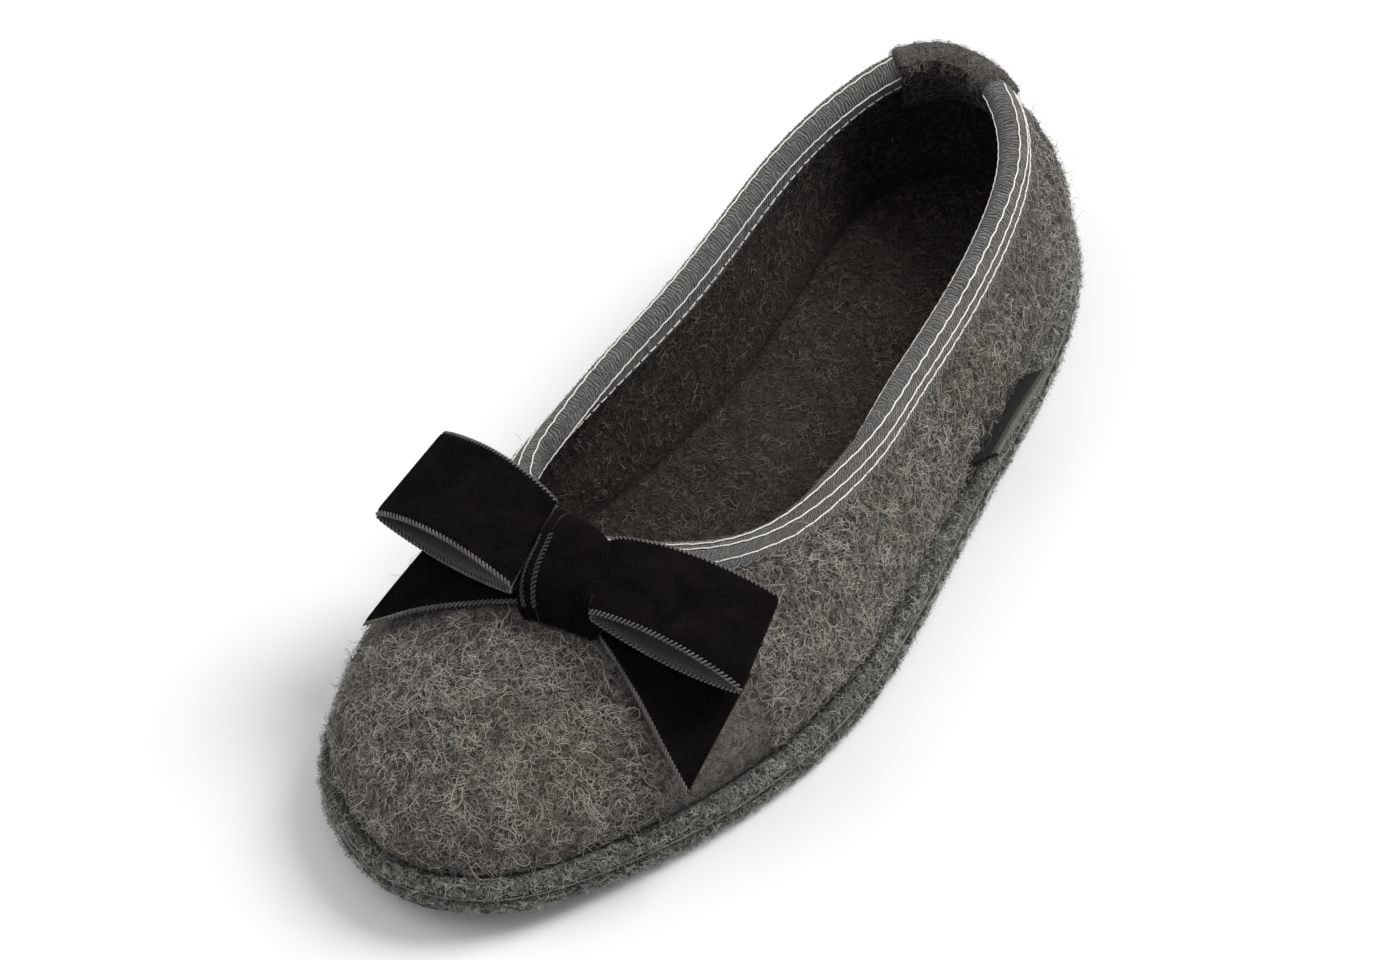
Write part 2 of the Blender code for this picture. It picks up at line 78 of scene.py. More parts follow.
RIBBON_WIDTH = 0.027
RIBBON_THICK = 0.0013
LOOP_HEIGHT = 0.0092
LOOP_CROWN = 0.60
LOOP_SEAT = 0.0076
LOOP_PINCH = 0.0017
KNOT_HEIGHT = 0.0105
TAIL_DROOP = 0.55
TAG_LENGTH = 0.030
TAG_PROUD = 0.0090
TAG_THICK = 0.0012
TAG_TILT = 50.0
TAG_PLACE = 0.680
TAG_LIFT = 0.13
RAND_TOP = OUTSOLE_THICK + GAP + RAND_HEIGHT
UPPER_INSET = RAND_INSET + RAND_THICK + GAP
INSOLE_INSET = UPPER_INSET + WALL + GAP
HEEL_SECTION = 11

# The CAD model's sections round the slipper, from the toe along the outer side to the heel and back.
# Across, the collar's two columns and rise come from a least-squares fit to the photographed outline.
COLUMNS = ("along", "across", "collar_along", "collar_across", "rise", "swell", "shoulder", "reach", "dip")
SECTIONS = np.array(
    (
        (0.000, -0.054, 0.330, -0.031, 0.00, 0.40, 0.68, 0.40, 0.03),
        (0.030, 0.154, 0.346, 0.088, 0.00, 0.40, 0.66, 0.40, 0.04),
        (0.090, 0.278, 0.371, 0.201, 0.05, 0.50, 0.60, 0.40, 0.06),
        (0.180, 0.402, 0.408, 0.275, 0.13, 0.60, 0.54, 0.38, 0.10),
        (0.300, 0.506, 0.458, 0.310, 0.24, 0.70, 0.48, 0.36, 0.16),
        (0.420, 0.524, 0.522, 0.330, 0.29, 0.75, 0.42, 0.34, 0.22),
        (0.540, 0.484, 0.593, 0.320, 0.31, 0.80, 0.38, 0.34, 0.28),
        (0.660, 0.440, 0.681, 0.304, 0.34, 0.95, 0.36, 0.38, 0.32),
        (0.780, 0.396, 0.773, 0.275, 0.48, 1.15, 0.34, 0.44, 0.34),
        (0.890, 0.313, 0.856, 0.215, 0.71, 1.25, 0.34, 0.48, 0.36),
        (0.970, 0.173, 0.913, 0.100, 0.95, 1.20, 0.34, 0.48, 0.36),
        (1.000, -0.029, 0.936, -0.026, 1.00, 1.10, 0.34, 0.48, 0.36),
        (0.970, -0.225, 0.919, -0.145, 0.98, 1.00, 0.34, 0.44, 0.36),
        (0.890, -0.333, 0.856, -0.230, 0.79, 0.85, 0.36, 0.36, 0.36),
        (0.780, -0.328, 0.769, -0.272, 0.58, 0.75, 0.36, 0.28, 0.36),
        (0.660, -0.297, 0.676, -0.279, 0.36, 0.65, 0.38, 0.22, 0.36),
        (0.540, -0.308, 0.588, -0.287, 0.19, 0.60, 0.38, 0.18, 0.36),
        (0.420, -0.387, 0.512, -0.305, 0.09, 0.55, 0.40, 0.18, 0.34),
        (0.300, -0.492, 0.442, -0.311, 0.06, 0.50, 0.44, 0.22, 0.26),
        (0.180, -0.520, 0.385, -0.298, 0.06, 0.45, 0.50, 0.30, 0.16),
        (0.090, -0.431, 0.346, -0.241, 0.05, 0.40, 0.58, 0.36, 0.08),
        (0.030, -0.275, 0.329, -0.141, 0.01, 0.40, 0.64, 0.40, 0.04),
    )
)
AROUND = len(SECTIONS)


def spline_slopes(values):
    """Slopes of the smooth closed curve through the sections' values."""
    system = 4 * np.eye(AROUND) + np.roll(np.eye(AROUND), 1, axis=0) + np.roll(np.eye(AROUND), -1, axis=0)
    return np.linalg.solve(system, 3 * (np.roll(values, -1) - np.roll(values, 1)))


CURVES = {name: (SECTIONS[:, k], spline_slopes(SECTIONS[:, k])) for k, name in enumerate(COLUMNS)}


def ring(column, at):
    values, slopes = CURVES[column]
    at = np.asarray(at, dtype=float) % AROUND
    start = np.floor(at).astype(int) % AROUND
    end = (start + 1) % AROUND
    t = at - np.floor(at)
    return (
        values[start] * (2 * t**3 - 3 * t**2 + 1)
        + slopes[start] * (t**3 - 2 * t**2 + t)
        + values[end] * (3 * t**2 - 2 * t**3)
        + slopes[end] * (t**3 - t**2)
    )


def unit(vectors):
    return vectors / np.maximum(np.linalg.norm(vectors, axis=-1, keepdims=True), 1e-12)


def smooth(low, high, value):
    """A soft step from 0 at low to 1 at high."""
    t = np.clip((np.asarray(value) - low) / (high - low), 0, 1)
    return t * t * (3 - 2 * t)


def plan_curve(across, along, at, inset):
    step = 0.01

    def point(place):
        return np.stack([ring(across, place) * BALL_WIDTH, (ring(along, place) - 0.5) * LENGTH], axis=-1)

    tangent = unit(point(at + step) - point(at - step))
    outward = np.stack([tangent[..., 1], -tangent[..., 0]], axis=-1)
    return point(at) - inset * outward, outward


def outline(at, inset=0.0):
    return plan_curve("across", "along", at, inset)


def floor_lift(y):
    run = np.clip((SPRING_START * LENGTH - (np.asarray(y) + 0.5 * LENGTH)) / (SPRING_START * LENGTH), 0, 1)
    return TOE_SPRING * run**2


def even_places(count):
    fine = np.linspace(0, AROUND, 4001)
    points, _ = outline(fine)
    walked = np.concatenate([[0], np.cumsum(np.linalg.norm(np.diff(points, axis=0), axis=1))])
    return np.interp(np.linspace(0, walked[-1], count, endpoint=False), walked, fine)


def wall_curve(at, steps):
    """The felt's outer face from the top of the rand to the collar: an array of steps x places x 3."""
    base, outward = outline(at, UPPER_INSET)
    bottom = RAND_TOP + floor_lift(base[:, 1])
    edge, _ = plan_curve("collar_across", "collar_along", at, -0.5 * WALL)
    collar = np.column_stack([edge, THROAT_HEIGHT + ring("rise", at) * (HEEL_HEIGHT - THROAT_HEIGHT)])
    foot = np.column_stack([base, bottom])
    out = np.column_stack([outward, np.zeros(len(at))])
    up = np.array([0.0, 0.0, 1.0])
    tall = (collar[:, 2] - foot[:, 2])[:, None]
    swell = (SWELL * ring("swell", at))[:, None]
    run = (foot - collar) * np.array([1.0, 1.0, 0.0])
    lower = foot + out * swell + up * tall * ring("shoulder", at)[:, None]
    reach, dip = ring("reach", at)[:, None], ring("dip", at)[:, None]
    upper = collar + run * reach + out * swell * 0.4 - up * tall * dip
    t = np.asarray(steps)[:, None, None]
    return foot * (1 - t) ** 3 + 3 * lower * t * (1 - t) ** 2 + 3 * upper * t**2 * (1 - t) + collar * t**3


def wall_frame(at, steps):
    nudge = 0.004
    points = wall_curve(at, steps)
    along = wall_curve(at + nudge, steps) - wall_curve(at - nudge, steps)
    steps = np.asarray(steps)
    up = unit(wall_curve(at, steps + nudge) - wall_curve(at, steps - nudge))
    return points, unit(np.cross(along, up)), up


def noise(points, size, seed):
    """Smooth random values between -1 and 1 over space, with features of about this size."""
    place = np.asarray(points) / size
    cell = np.floor(place).astype(np.int64)
    part = place - cell
    part = part * part * (3 - 2 * part)
    total = np.zeros(place.shape[:-1])
    for corner in itertools.product((0, 1), repeat=3):
        at = cell + np.array(corner)
        code = at[..., 0] * 73856093 ^ at[..., 1] * 19349663 ^ at[..., 2] * 83492791 ^ seed * 2654435761
        code = (code ^ (code >> 13)) * 1274126177
        code = (code ^ (code >> 16)) & 0xFFFF
        weight = np.prod(np.where(np.array(corner) == 1, part, 1 - part), axis=-1)
        total += (code / 32767.5 - 1) * weight
    return total


# Meshes


def add_mesh(name, points, faces, finishes, picks=None, uv=None):
    """A smooth mesh of quads that rides on the slipper. picks gives each face's material."""
    mesh = bpy.data.meshes.new(name)
    points = np.ascontiguousarray(points, dtype=np.float32).reshape(-1, 3)
    faces = np.ascontiguousarray(faces, dtype=np.int32).reshape(-1, 4)
    mesh.vertices.add(len(points))
    mesh.vertices.foreach_set("co", points.ravel())
    mesh.loops.add(faces.size)
    mesh.loops.foreach_set("vertex_index", faces.ravel())
    mesh.polygons.add(len(faces))
    mesh.polygons.foreach_set("loop_start", np.arange(0, faces.size, 4, dtype=np.int32))
    for made in finishes:
        mesh.materials.append(made)
    if picks is not None:
        mesh.polygons.foreach_set("material_index", np.ascontiguousarray(picks, dtype=np.int32))
    if uv is not None:
        layer = mesh.uv_layers.new(name="weave")
        layer.data.foreach_set("uv", np.asarray(uv, dtype=np.float32).reshape(-1, 2)[faces.ravel()].ravel())
    mesh.update(calc_edges=True)
    mesh.shade_smooth()
    piece = bpy.data.objects.new(name, mesh)
    bpy.context.scene.collection.objects.link(piece)
    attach(piece, "root")
    return piece


def grid_faces(rows, cols, round_rows=False, round_cols=False):
    i = np.arange(rows if round_rows else rows - 1)[:, None]
    j = np.arange(cols if round_cols else cols - 1)[None, :]
    k, m = (i + 1) % rows, (j + 1) % cols
    return np.stack(np.broadcast_arrays(i * cols + j, i * cols + m, k * cols + m, k * cols + j), axis=-1)


def volume(points, faces):
    a, b, c, d = (points[faces[:, k]] for k in range(4))
    return float((np.einsum("ij,ij->i", a, np.cross(b, c)) + np.einsum("ij,ij->i", a, np.cross(c, d))).sum())


def add_grid(name, grid, finishes, round_rows=False, round_cols=True, caps=False, picks=None, uv=None):
    """A mesh from a grid of points, capped at its first and last row if asked, with its faces outward."""
    rows, cols = grid.shape[:2]
    faces = grid_faces(rows, cols, round_rows, round_cols)
    if picks is not None:
        picks = np.broadcast_to(picks, faces.shape[:2]).ravel()
    faces = faces.reshape(-1, 4)
    points = grid.reshape(-1, 3)
    if caps:
        half = cols // 2
        ends = []
        for start in (0, (rows - 1) * cols):
            for j in range(half - 1):
                quad = [start + j, start + j + 1, start + cols - 2 - j, start + cols - 1 - j]
                ends.append(quad[::-1] if start == 0 else quad)
        faces = np.vstack([faces, np.array(ends)])
        if picks is not None:
            picks = np.concatenate([picks, np.zeros(len(ends), dtype=int)])
    if (round_rows or caps) and volume(points, faces) < 0:
        faces = faces[:, ::-1]
    return add_mesh(name, points, faces, finishes, picks, uv)


class Patch:
    """A grid of points that fibres are scattered over."""

    def __init__(self, grid, outward=1, round_cols=True):
        if round_cols:
            grid = np.concatenate([grid, grid[:, :1]], axis=1)
        corners = np.stack([grid[:-1, :-1], grid[:-1, 1:], grid[1:, 1:], grid[1:, :-1]], axis=2)
        self.corners = corners.reshape(-1, 4, 3)
        a, b, c, d = (self.corners[:, k] for k in range(4))
        cross = outward * np.cross(c - a, d - b)
        self.area = 0.5 * np.linalg.norm(cross, axis=1)
        self.normal = unit(cross)
        self.middle = self.corners.mean(axis=1)

    def scatter(self, count, weight=None):
        odds = self.area if weight is None else self.area * weight
        pick = chance.choice(len(odds), count, p=odds / odds.sum())
        s, t = chance.random((2, count, 1))
        a, b, c, d = (self.corners[pick, k] for k in range(4))
        return (1 - t) * ((1 - s) * a + s * b) + t * ((1 - s) * d + s * c), self.normal[pick]


def curls(points, normals, length, turn, lift, steps, free=0.25):
    """Paths of curly fibres that lie on a surface: count x steps x 3, and directions across them."""
    count = len(points)
    draw = chance.random((7, count))
    helper = np.where(np.abs(normals[:, 2:]) < 0.9, np.array([[0.0, 0.0, 1.0]]), np.array([[0.0, 1.0, 0.0]]))
    ex = unit(np.cross(helper, normals))
    ey = np.cross(normals, ex)
    t = np.linspace(0, 1, steps)[None, :]
    size = (length * (0.45 + 1.1 * draw[0] ** 1.6))[:, None]
    sign = np.where(draw[1] < 0.5, -1, 1)[:, None]
    bend = sign * (turn[0] + (turn[1] - turn[0]) * draw[2][:, None])
    swing = 1.1 * np.sin(2 * math.pi * (t * (0.6 + draw[3][:, None]) + draw[4][:, None]))
    heading = 2 * math.pi * draw[5][:, None] + bend * t + swing
    pace = size / (steps - 1)
    x = np.concatenate([np.zeros((count, 1)), np.cumsum(np.cos(heading) * pace, axis=1)[:, :-1]], axis=1)
    y = np.concatenate([np.zeros((count, 1)), np.cumsum(np.sin(heading) * pace, axis=1)[:, :-1]], axis=1)
    x -= x.mean(axis=1, keepdims=True)
    y -= y.mean(axis=1, keepdims=True)
    arch = np.sin(math.pi * t) ** 0.8
    loose = np.where(draw[6][:, None] < free, t**1.5 * 1.6, arch)
    high = (lift[0] + (lift[1] - lift[0]) * chance.random(count) ** 2.2)[:, None]
    stand = 0.00012 + high * loose
    paths = points[:, None] + ex[:, None] * x[..., None] + ey[:, None] * y[..., None]
    paths = paths + normals[:, None] * stand[..., None]
    run = unit(np.gradient(paths, axis=1))
    flat = unit(np.cross(run, normals[:, None]))
    roll = (chance.random(count) * 1.4 - 0.7)[:, None, None]
    return paths, flat * np.cos(roll) + normals[:, None] * np.sin(roll)


def add_strips(name, paths, across, width, finish):
    """Flat strips along many paths, thinner at both ends."""
    count, steps = paths.shape[:2]
    t = np.linspace(0, 1, steps)
    half = 0.5 * width * (0.30 + 0.70 * np.sin(math.pi * t) ** 0.6)
    wide = half[None, :, None] * (0.7 + 0.6 * chance.random((count, 1, 1)))
    points = np.stack([paths - across * wide, paths + across * wide], axis=2)
    base = (np.arange(count) * steps * 2)[:, None] + 2 * np.arange(steps - 1)[None, :]
    faces = np.stack([base, base + 1, base + 3, base + 2], axis=-1)
    return add_mesh(name, points, faces, [finish])


def tube_parts(paths, normals, radius, sides, first=0, shrink=True):
    """Points and faces of closed tubes along many paths."""
    count, steps = paths.shape[:2]
    run = unit(np.gradient(paths, axis=1))
    side = unit(np.cross(run, normals))
    over = np.cross(side, run)
    angle = 2 * math.pi * np.arange(sides) / sides
    reach = np.full(steps, radius)
    if shrink:
        reach[[0, -1]] *= 0.35
    ring_points = side[:, :, None] * np.cos(angle)[:, None] + over[:, :, None] * np.sin(angle)[:, None]
    points = paths[:, :, None] + ring_points * reach[None, :, None, None]
    one = grid_faces(steps, sides, False, True).reshape(-1, 4)
    faces = (first + np.arange(count) * steps * sides)[:, None, None] + one[None]
    return points.reshape(-1, 3), faces.reshape(-1, 4)


def add_tubes(name, groups, radius, sides, finish, shrink=True):
    """One piece of many tubes, from groups of paths and normals."""
    points, faces, first = [], [], 0
    for paths, normals in groups:
        more, quads = tube_parts(paths, normals, radius, sides, first, shrink)
        points.append(more)
        faces.append(quads)
        first += len(more)
    return add_mesh(name, np.vstack(points), np.vstack(faces), [finish])


# Materials


class Finish:
    """A procedural material and its node tree."""

    def __init__(self, name, roughness, **sockets):
        self.material = bpy.data.materials.new(name)
        self.material.use_nodes = True
        self.tree = self.material.node_tree
        self.shader = self.tree.nodes["Principled BSDF"]
        self.shader.inputs["Roughness"].default_value = roughness
        for socket, value in sockets.items():
            self.shader.inputs[socket.replace("_", " ")].default_value = value
        self.place = self.tree.nodes.new("ShaderNodeTexCoord").outputs["Object"]

    def node(self, kind, inputs=(), **settings):
        made = self.tree.nodes.new(kind)
        for key, value in settings.items():
            setattr(made, key, value)
        for key, value in dict(inputs).items():
            if isinstance(value, bpy.types.NodeSocket):
                self.tree.links.new(value, made.inputs[key])
            else:
                made.inputs[key].default_value = value
        return made

    def noise(self, scale, detail=3.0, rough=0.55, distort=0.0, place=None):
        inputs = {"Vector": place or self.place, "Scale": scale, "Detail": detail}
        inputs.update({"Roughness": rough, "Distortion": distort})
        return self.node("ShaderNodeTexNoise", inputs).outputs["Fac"]

    def stretched(self, scale, place=None):
        inputs = {0: place or self.place, 1: scale}
        return self.node("ShaderNodeVectorMath", inputs, operation="MULTIPLY").outputs[0]

    def math(self, operation, a, b=0.0, clamp=False):
        return self.node("ShaderNodeMath", {0: a, 1: b}, operation=operation, use_clamp=clamp).outputs[0]

    def span(self, value, low, high, out_low=0.0, out_high=1.0):
        inputs = {"Value": value, "From Min": low, "From Max": high, "To Min": out_low, "To Max": out_high}
        return self.node("ShaderNodeMapRange", inputs).outputs["Result"]

    def mix(self, factor, a, b):
        made = self.tree.nodes.new("ShaderNodeMix")
        made.data_type = "RGBA"
        for socket, value in ((made.inputs[0], factor), (made.inputs[6], a), (made.inputs[7], b)):
            if isinstance(value, bpy.types.NodeSocket):
                self.tree.links.new(value, socket)
            else:
                socket.default_value = value if isinstance(value, float) else (*value, 1.0)
        return made.outputs[2]

    def lines(self, value, width):
        """Thin contour lines of a noise, which look like fibres."""
        away = self.math("ABSOLUTE", self.math("SUBTRACT", value, 0.5))
        return self.span(away, 0.0, width, 1.0, 0.0)

    def colour(self, socket):
        self.tree.links.new(socket, self.shader.inputs["Base Color"])

    def bump(self, height, strength, distance, below=None):
        inputs = {"Height": height, "Strength": strength, "Distance": distance}
        if below is not None:
            inputs["Normal"] = below
        return self.node("ShaderNodeBump", inputs).outputs["Normal"]

    def relief(self, *layers):
        normal = None
        for height, strength, distance in layers:
            normal = self.bump(height, strength, distance, normal)
        self.tree.links.new(normal, self.shader.inputs["Normal"])


def felt(name, body, gap_shade, light, tint, nub=620.0, sheen=0.05):
    made = Finish(name, 0.95, Sheen_Weight=sheen, Sheen_Roughness=0.6, Specular_IOR_Level=0.15)
    nubs = made.noise(nub, 3.0, 0.65, 1.2)
    pits = made.noise(nub * 0.55, 2.0, 0.5, 1.5)
    patches = made.noise(70.0, 3.0, 0.6, 0.4)
    fibres = made.lines(made.noise(430.0, 2.0, 0.5, 3.0), 0.022)
    finer = made.lines(made.noise(760.0, 2.0, 0.5, 3.8), 0.032)
    # Where the nubs and pits are low the colour goes to the dark gap tone: painted shade in the felt's
    # recesses
    shade = made.mix(made.span(nubs, 0.40, 0.58), gap_shade, body)
    shade = made.mix(made.span(pits, 0.37, 0.50, 0.9, 0.0), shade, gap_shade)
    shade = made.mix(made.span(patches, 0.40, 0.75, 0.0, 0.45), shade, tint)
    shade = made.mix(made.math("MULTIPLY", fibres, 0.65), shade, light)
    shade = made.mix(made.math("MULTIPLY", finer, 0.45), shade, light)
    made.colour(shade)
    made.relief((pits, 0.8, 0.0012), (nubs, 0.9, 0.0009), (fibres, 0.5, 0.0003), (finer, 0.4, 0.0002))
    return made.material


def fibre(name, pale, deep, scale=160.0):
    made = Finish(name, 0.7, Specular_IOR_Level=0.3, Sheen_Weight=0.2)
    tone = made.noise(scale, 2.0, 0.6)
    fine = made.noise(scale * 9, 2.0, 0.6)
    shade = made.mix(made.span(tone, 0.35, 0.65), deep, pale)
    made.colour(made.mix(made.span(fine, 0.3, 0.8, 0.0, 0.45), shade, deep))
    made.relief((fine, 0.3, 0.0001))
    return made.material


# Tones of each felt: body, dark gaps (painted shade between the nubs and in the pits), light fibres and tint
WOOL_TONES = ((0.128, 0.118, 0.104), (0.012, 0.0108, 0.0095), (0.34, 0.32, 0.285), (0.100, 0.083, 0.064))
# The inside felt is the outer felt made much darker: painted shade inside the slipper
INSIDE_SHADED_TONES = ((0.034, 0.029, 0.0235), (0.0045, 0.0038, 0.0030), (0.14, 0.12, 0.097), (0.030, 0.023, 0.017))
EDGE_TONES = ((0.090, 0.092, 0.081), (0.0055, 0.0055, 0.0048), (0.34, 0.34, 0.30), (0.062, 0.062, 0.049))
SOLE_TONES = ((0.082, 0.083, 0.073), (0.0055, 0.0055, 0.0048), (0.30, 0.30, 0.265), (0.056, 0.056, 0.044))
# The footbed is darkened the same way: painted shade inside the slipper
BED_SHADED_TONES = ((0.038, 0.0325, 0.027), (0.0050, 0.0042, 0.0034), (0.145, 0.125, 0.103), (0.034, 0.027, 0.020))
TAB_TONES = ((0.120, 0.111, 0.098), (0.030, 0.027, 0.024), (0.29, 0.27, 0.24), (0.092, 0.078, 0.063))

WOOL = felt("wool_felt", *WOOL_TONES)
INSIDE_SHADED = felt("wool_inside_shaded", *INSIDE_SHADED_TONES, sheen=0.01)
EDGE = felt("edge_felt", *EDGE_TONES, nub=440.0, sheen=0.02)
SOLE = felt("sole_felt", *SOLE_TONES, nub=440.0, sheen=0.02)
BED_SHADED = felt("footbed_felt", *BED_SHADED_TONES, sheen=0.01)
TAB = felt("tab_felt", *TAB_TONES, nub=900.0)
LIGHT_FIBRE = fibre("fibre_light", (0.42, 0.395, 0.35), (0.22, 0.203, 0.176))
MID_FIBRE = fibre("fibre_mid", (0.175, 0.161, 0.140), (0.075, 0.068, 0.059))
TAN_FIBRE = fibre("fibre_tan", (0.19, 0.142, 0.100), (0.08, 0.062, 0.046))
DARK_FIBRE = fibre("fibre_dark", (0.026, 0.023, 0.020), (0.008, 0.007, 0.006))
EDGE_FIBRE = fibre("fibre_edge", (0.44, 0.44, 0.39), (0.12, 0.12, 0.105), 420.0)
# Fibres inside the slipper are darker than the outer ones: painted shade
INSIDE_FIBRE_SHADED = fibre("fibre_inside_shaded", (0.155, 0.134, 0.108), (0.040, 0.034, 0.027))


# Pitch of the tape's woven ribs, and how far they lean per metre across it
RIB_STEP = 0.00085
RIB_SLANT = 0.18


def knit_tape():
    made = Finish("rib_tape", 0.85, Sheen_Weight=0.2, Specular_IOR_Level=0.25)
    uv = made.node("ShaderNodeUVMap", uv_map="weave").outputs[0]
    slant = made.node("ShaderNodeSeparateXYZ", {0: uv})
    wobble = made.noise(320.0, 2.0, 0.5)
    phase = made.math("ADD", slant.outputs[0], made.math("MULTIPLY", slant.outputs[1], RIB_SLANT))
    phase = made.math("ADD", phase, made.math("MULTIPLY", wobble, 0.0024))
    ribs = made.math("SINE", made.math("MULTIPLY", phase, 2 * math.pi / RIB_STEP))
    loops = made.math("SINE", made.math("MULTIPLY", slant.outputs[1], 2 * math.pi / 0.0009))
    hairs = made.lines(made.noise(1.0, 2.0, 0.5, 1.6, made.stretched((1500.0, 260.0, 0.0), uv)), 0.035)
    grain = made.noise(1400.0, 3.0, 0.6)
    shade = made.mix(made.span(ribs, -0.8, 0.8), (0.038, 0.036, 0.033), (0.165, 0.160, 0.149))
    shade = made.mix(made.span(grain, 0.35, 0.7, 0.0, 0.5), shade, (0.075, 0.072, 0.066))
    shade = made.mix(made.math("MULTIPLY", hairs, 0.6), shade, (0.32, 0.31, 0.29))
    made.colour(shade)
    made.relief((ribs, 0.8, 0.00025), (loops, 0.25, 0.0001), (grain, 0.4, 0.0001))
    return made.material


def thread(name, pale, deep):
    made = Finish(name, 0.6, Specular_IOR_Level=0.35, Sheen_Weight=0.1)
    grain = made.noise(2600.0, 2.0, 0.6)
    tone = made.noise(240.0, 2.0, 0.5)
    made.colour(made.mix(made.span(grain, 0.3, 0.7), deep, made.mix(made.span(tone, 0.3, 0.7), deep, pale)))
    made.relief((grain, 0.5, 0.0001))
    return made.material


def velvet_pile():
    made = Finish("velvet", 0.95, Specular_IOR_Level=0.02, Sheen_Weight=0.16, Sheen_Roughness=0.20)
    made.shader.inputs["Sheen Tint"].default_value = (0.50, 0.43, 0.37, 1.0)
    pile = made.noise(2600.0, 2.0, 0.6)
    nap = made.noise(120.0, 3.0, 0.6, 0.6)
    shade = made.mix(made.span(nap, 0.35, 0.7), (0.0022, 0.0019, 0.0016), (0.0065, 0.0055, 0.0046))
    made.colour(made.mix(made.span(pile, 0.45, 0.75, 0.0, 0.5), shade, (0.013, 0.011, 0.0095)))
    made.relief((nap, 0.25, 0.0004), (pile, 0.6, 0.00012))
    return made.material


def satin_back():
    made = Finish("satin_back", 0.48, Specular_IOR_Level=0.4, Sheen_Weight=0.15)
    uv = made.node("ShaderNodeUVMap", uv_map="weave").outputs[0]
    axes = made.node("ShaderNodeSeparateXYZ", {0: uv})
    slant = made.math("ADD", axes.outputs[0], axes.outputs[1])
    twill = made.math("SINE", made.math("MULTIPLY", slant, 2 * math.pi / 0.0006))
    cross = made.math("SINE", made.math("MULTIPLY", axes.outputs[0], 2 * math.pi / 0.0004))
    tone = made.noise(150.0, 2.0, 0.5)
    shade = made.mix(made.span(twill, -0.7, 0.7), (0.024, 0.022, 0.021), (0.085, 0.081, 0.077))
    made.colour(made.mix(made.span(tone, 0.35, 0.7, 0.0, 0.45), shade, (0.034, 0.031, 0.029)))
    made.relief((twill, 0.5, 0.0001), (cross, 0.2, 0.00005))
    return made.material


def label_satin(name, body, edge):
    made = Finish(name, 0.62, Specular_IOR_Level=0.15, Sheen_Weight=0.05)
    weave = made.noise(1.0, 2.0, 0.6, 0.0, made.stretched((1600.0, 2600.0, 1600.0)))
    specks = made.noise(900.0, 2.0, 0.6)
    shade = made.mix(made.span(weave, 0.3, 0.7), body, edge)
    made.colour(made.mix(made.span(specks, 0.70, 0.78, 0.0, 0.6), shade, (0.22, 0.21, 0.19)))
    made.relief((weave, 0.4, 0.00008))
    return made.material


TAPE = knit_tape()
STITCH = thread("stitch_thread", (0.93, 0.91, 0.86), (0.74, 0.71, 0.65))
OVERLOCK = thread("overlock_thread", (0.26, 0.25, 0.225), (0.12, 0.115, 0.10))
PICOT = thread("picot_thread", (0.19, 0.178, 0.163), (0.060, 0.055, 0.050))
# A darker copy of the picot thread for the knot's edges: painted shade
SHADED_PICOT = thread("shaded_picot_thread", (0.050, 0.045, 0.040), (0.018, 0.016, 0.014))
SEAM = thread("seam_thread", (0.30, 0.29, 0.25), (0.10, 0.098, 0.085))
VELVET = velvet_pile()
SATIN = satin_back()
LABEL = label_satin("label_satin", (0.010, 0.010, 0.010), (0.026, 0.026, 0.026))
LABEL_EDGE = label_satin("label_edge", (0.075, 0.075, 0.062), (0.13, 0.13, 0.108))


# Soft creases in the felt. Each row runs from one place and step of the wall to another, with the
# crease's half width and its depth in mm; a depth below zero is a soft ridge.
CREASES = (
    (3.4, 0.62, 4.6, 0.40, 6.0, 0.7),
    (5.2, 0.55, 6.4, 0.72, 7.0, 0.7),
    (7.4, 0.78, 8.6, 0.62, 8.0, 0.8),
    (20.2, 0.52, 21.2, 0.62, 7.0, 0.6),
    (0.8, 0.50, 1.9, 0.60, 8.0, 0.6),
    (16.2, 0.60, 17.6, 0.50, 6.0, 0.7),
)


def crease_depth(points):
    """How far the felt is pressed in at each point."""
    total = np.zeros(points.shape[:-1])
    for place_a, step_a, place_b, step_b, reach, depth in CREASES:
        t = np.linspace(0, 1, 9)
        at, step = place_a + t * (place_b - place_a), step_a + t * (step_b - step_a)
        spine = np.array([wall_curve(np.array([a]), [s])[0, 0] for a, s in zip(at, step)])
        away = np.full(points.shape[:-1], 1.0)
        for start, end in zip(spine[:-1], spine[1:]):
            run = end - start
            share = np.clip((points - start) @ run / (run @ run), 0, 1)
            away = np.minimum(away, np.linalg.norm(points - start - share[..., None] * run, axis=-1))
        away *= 1000 / reach
        total += 0.001 * depth * (np.exp(-(away**2)) - 0.45 * np.exp(-((away - 1.9) ** 2)))
    return total


# Felt upper, with its lumps given by height, width and seed
FELT_AROUND = 560
FELT_UP = 44
LUMPS = ((0.00028, 0.0026, 3), (0.00030, 0.0062, 4), (0.00040, 0.019, 5))
at = even_places(FELT_AROUND)
steps = np.linspace(0, 1, FELT_UP + 1)
outer, normals, up = wall_frame(at, steps)
rises = np.linalg.norm(np.diff(outer, axis=0), axis=2)
below_edge = np.concatenate([np.cumsum(rises[::-1], axis=0)[::-1], np.zeros((1, FELT_AROUND))])
above_foot = below_edge[0] - below_edge
loose = smooth(0.011, 0.017, below_edge) * smooth(0.0, 0.004, above_foot)
lumps = sum(height * noise(outer, width, seed) for height, width, seed in LUMPS)
felt_face = outer + normals * (loose * (lumps - crease_depth(outer)) - 0.00008)[..., None]
base, outward = outline(at, UPPER_INSET)
out = np.column_stack([outward, np.zeros(FELT_AROUND)])
foot = np.column_stack([base, OUTSOLE_THICK + GAP + floor_lift(base[:, 1])])
felt_face[0] = outer[0]


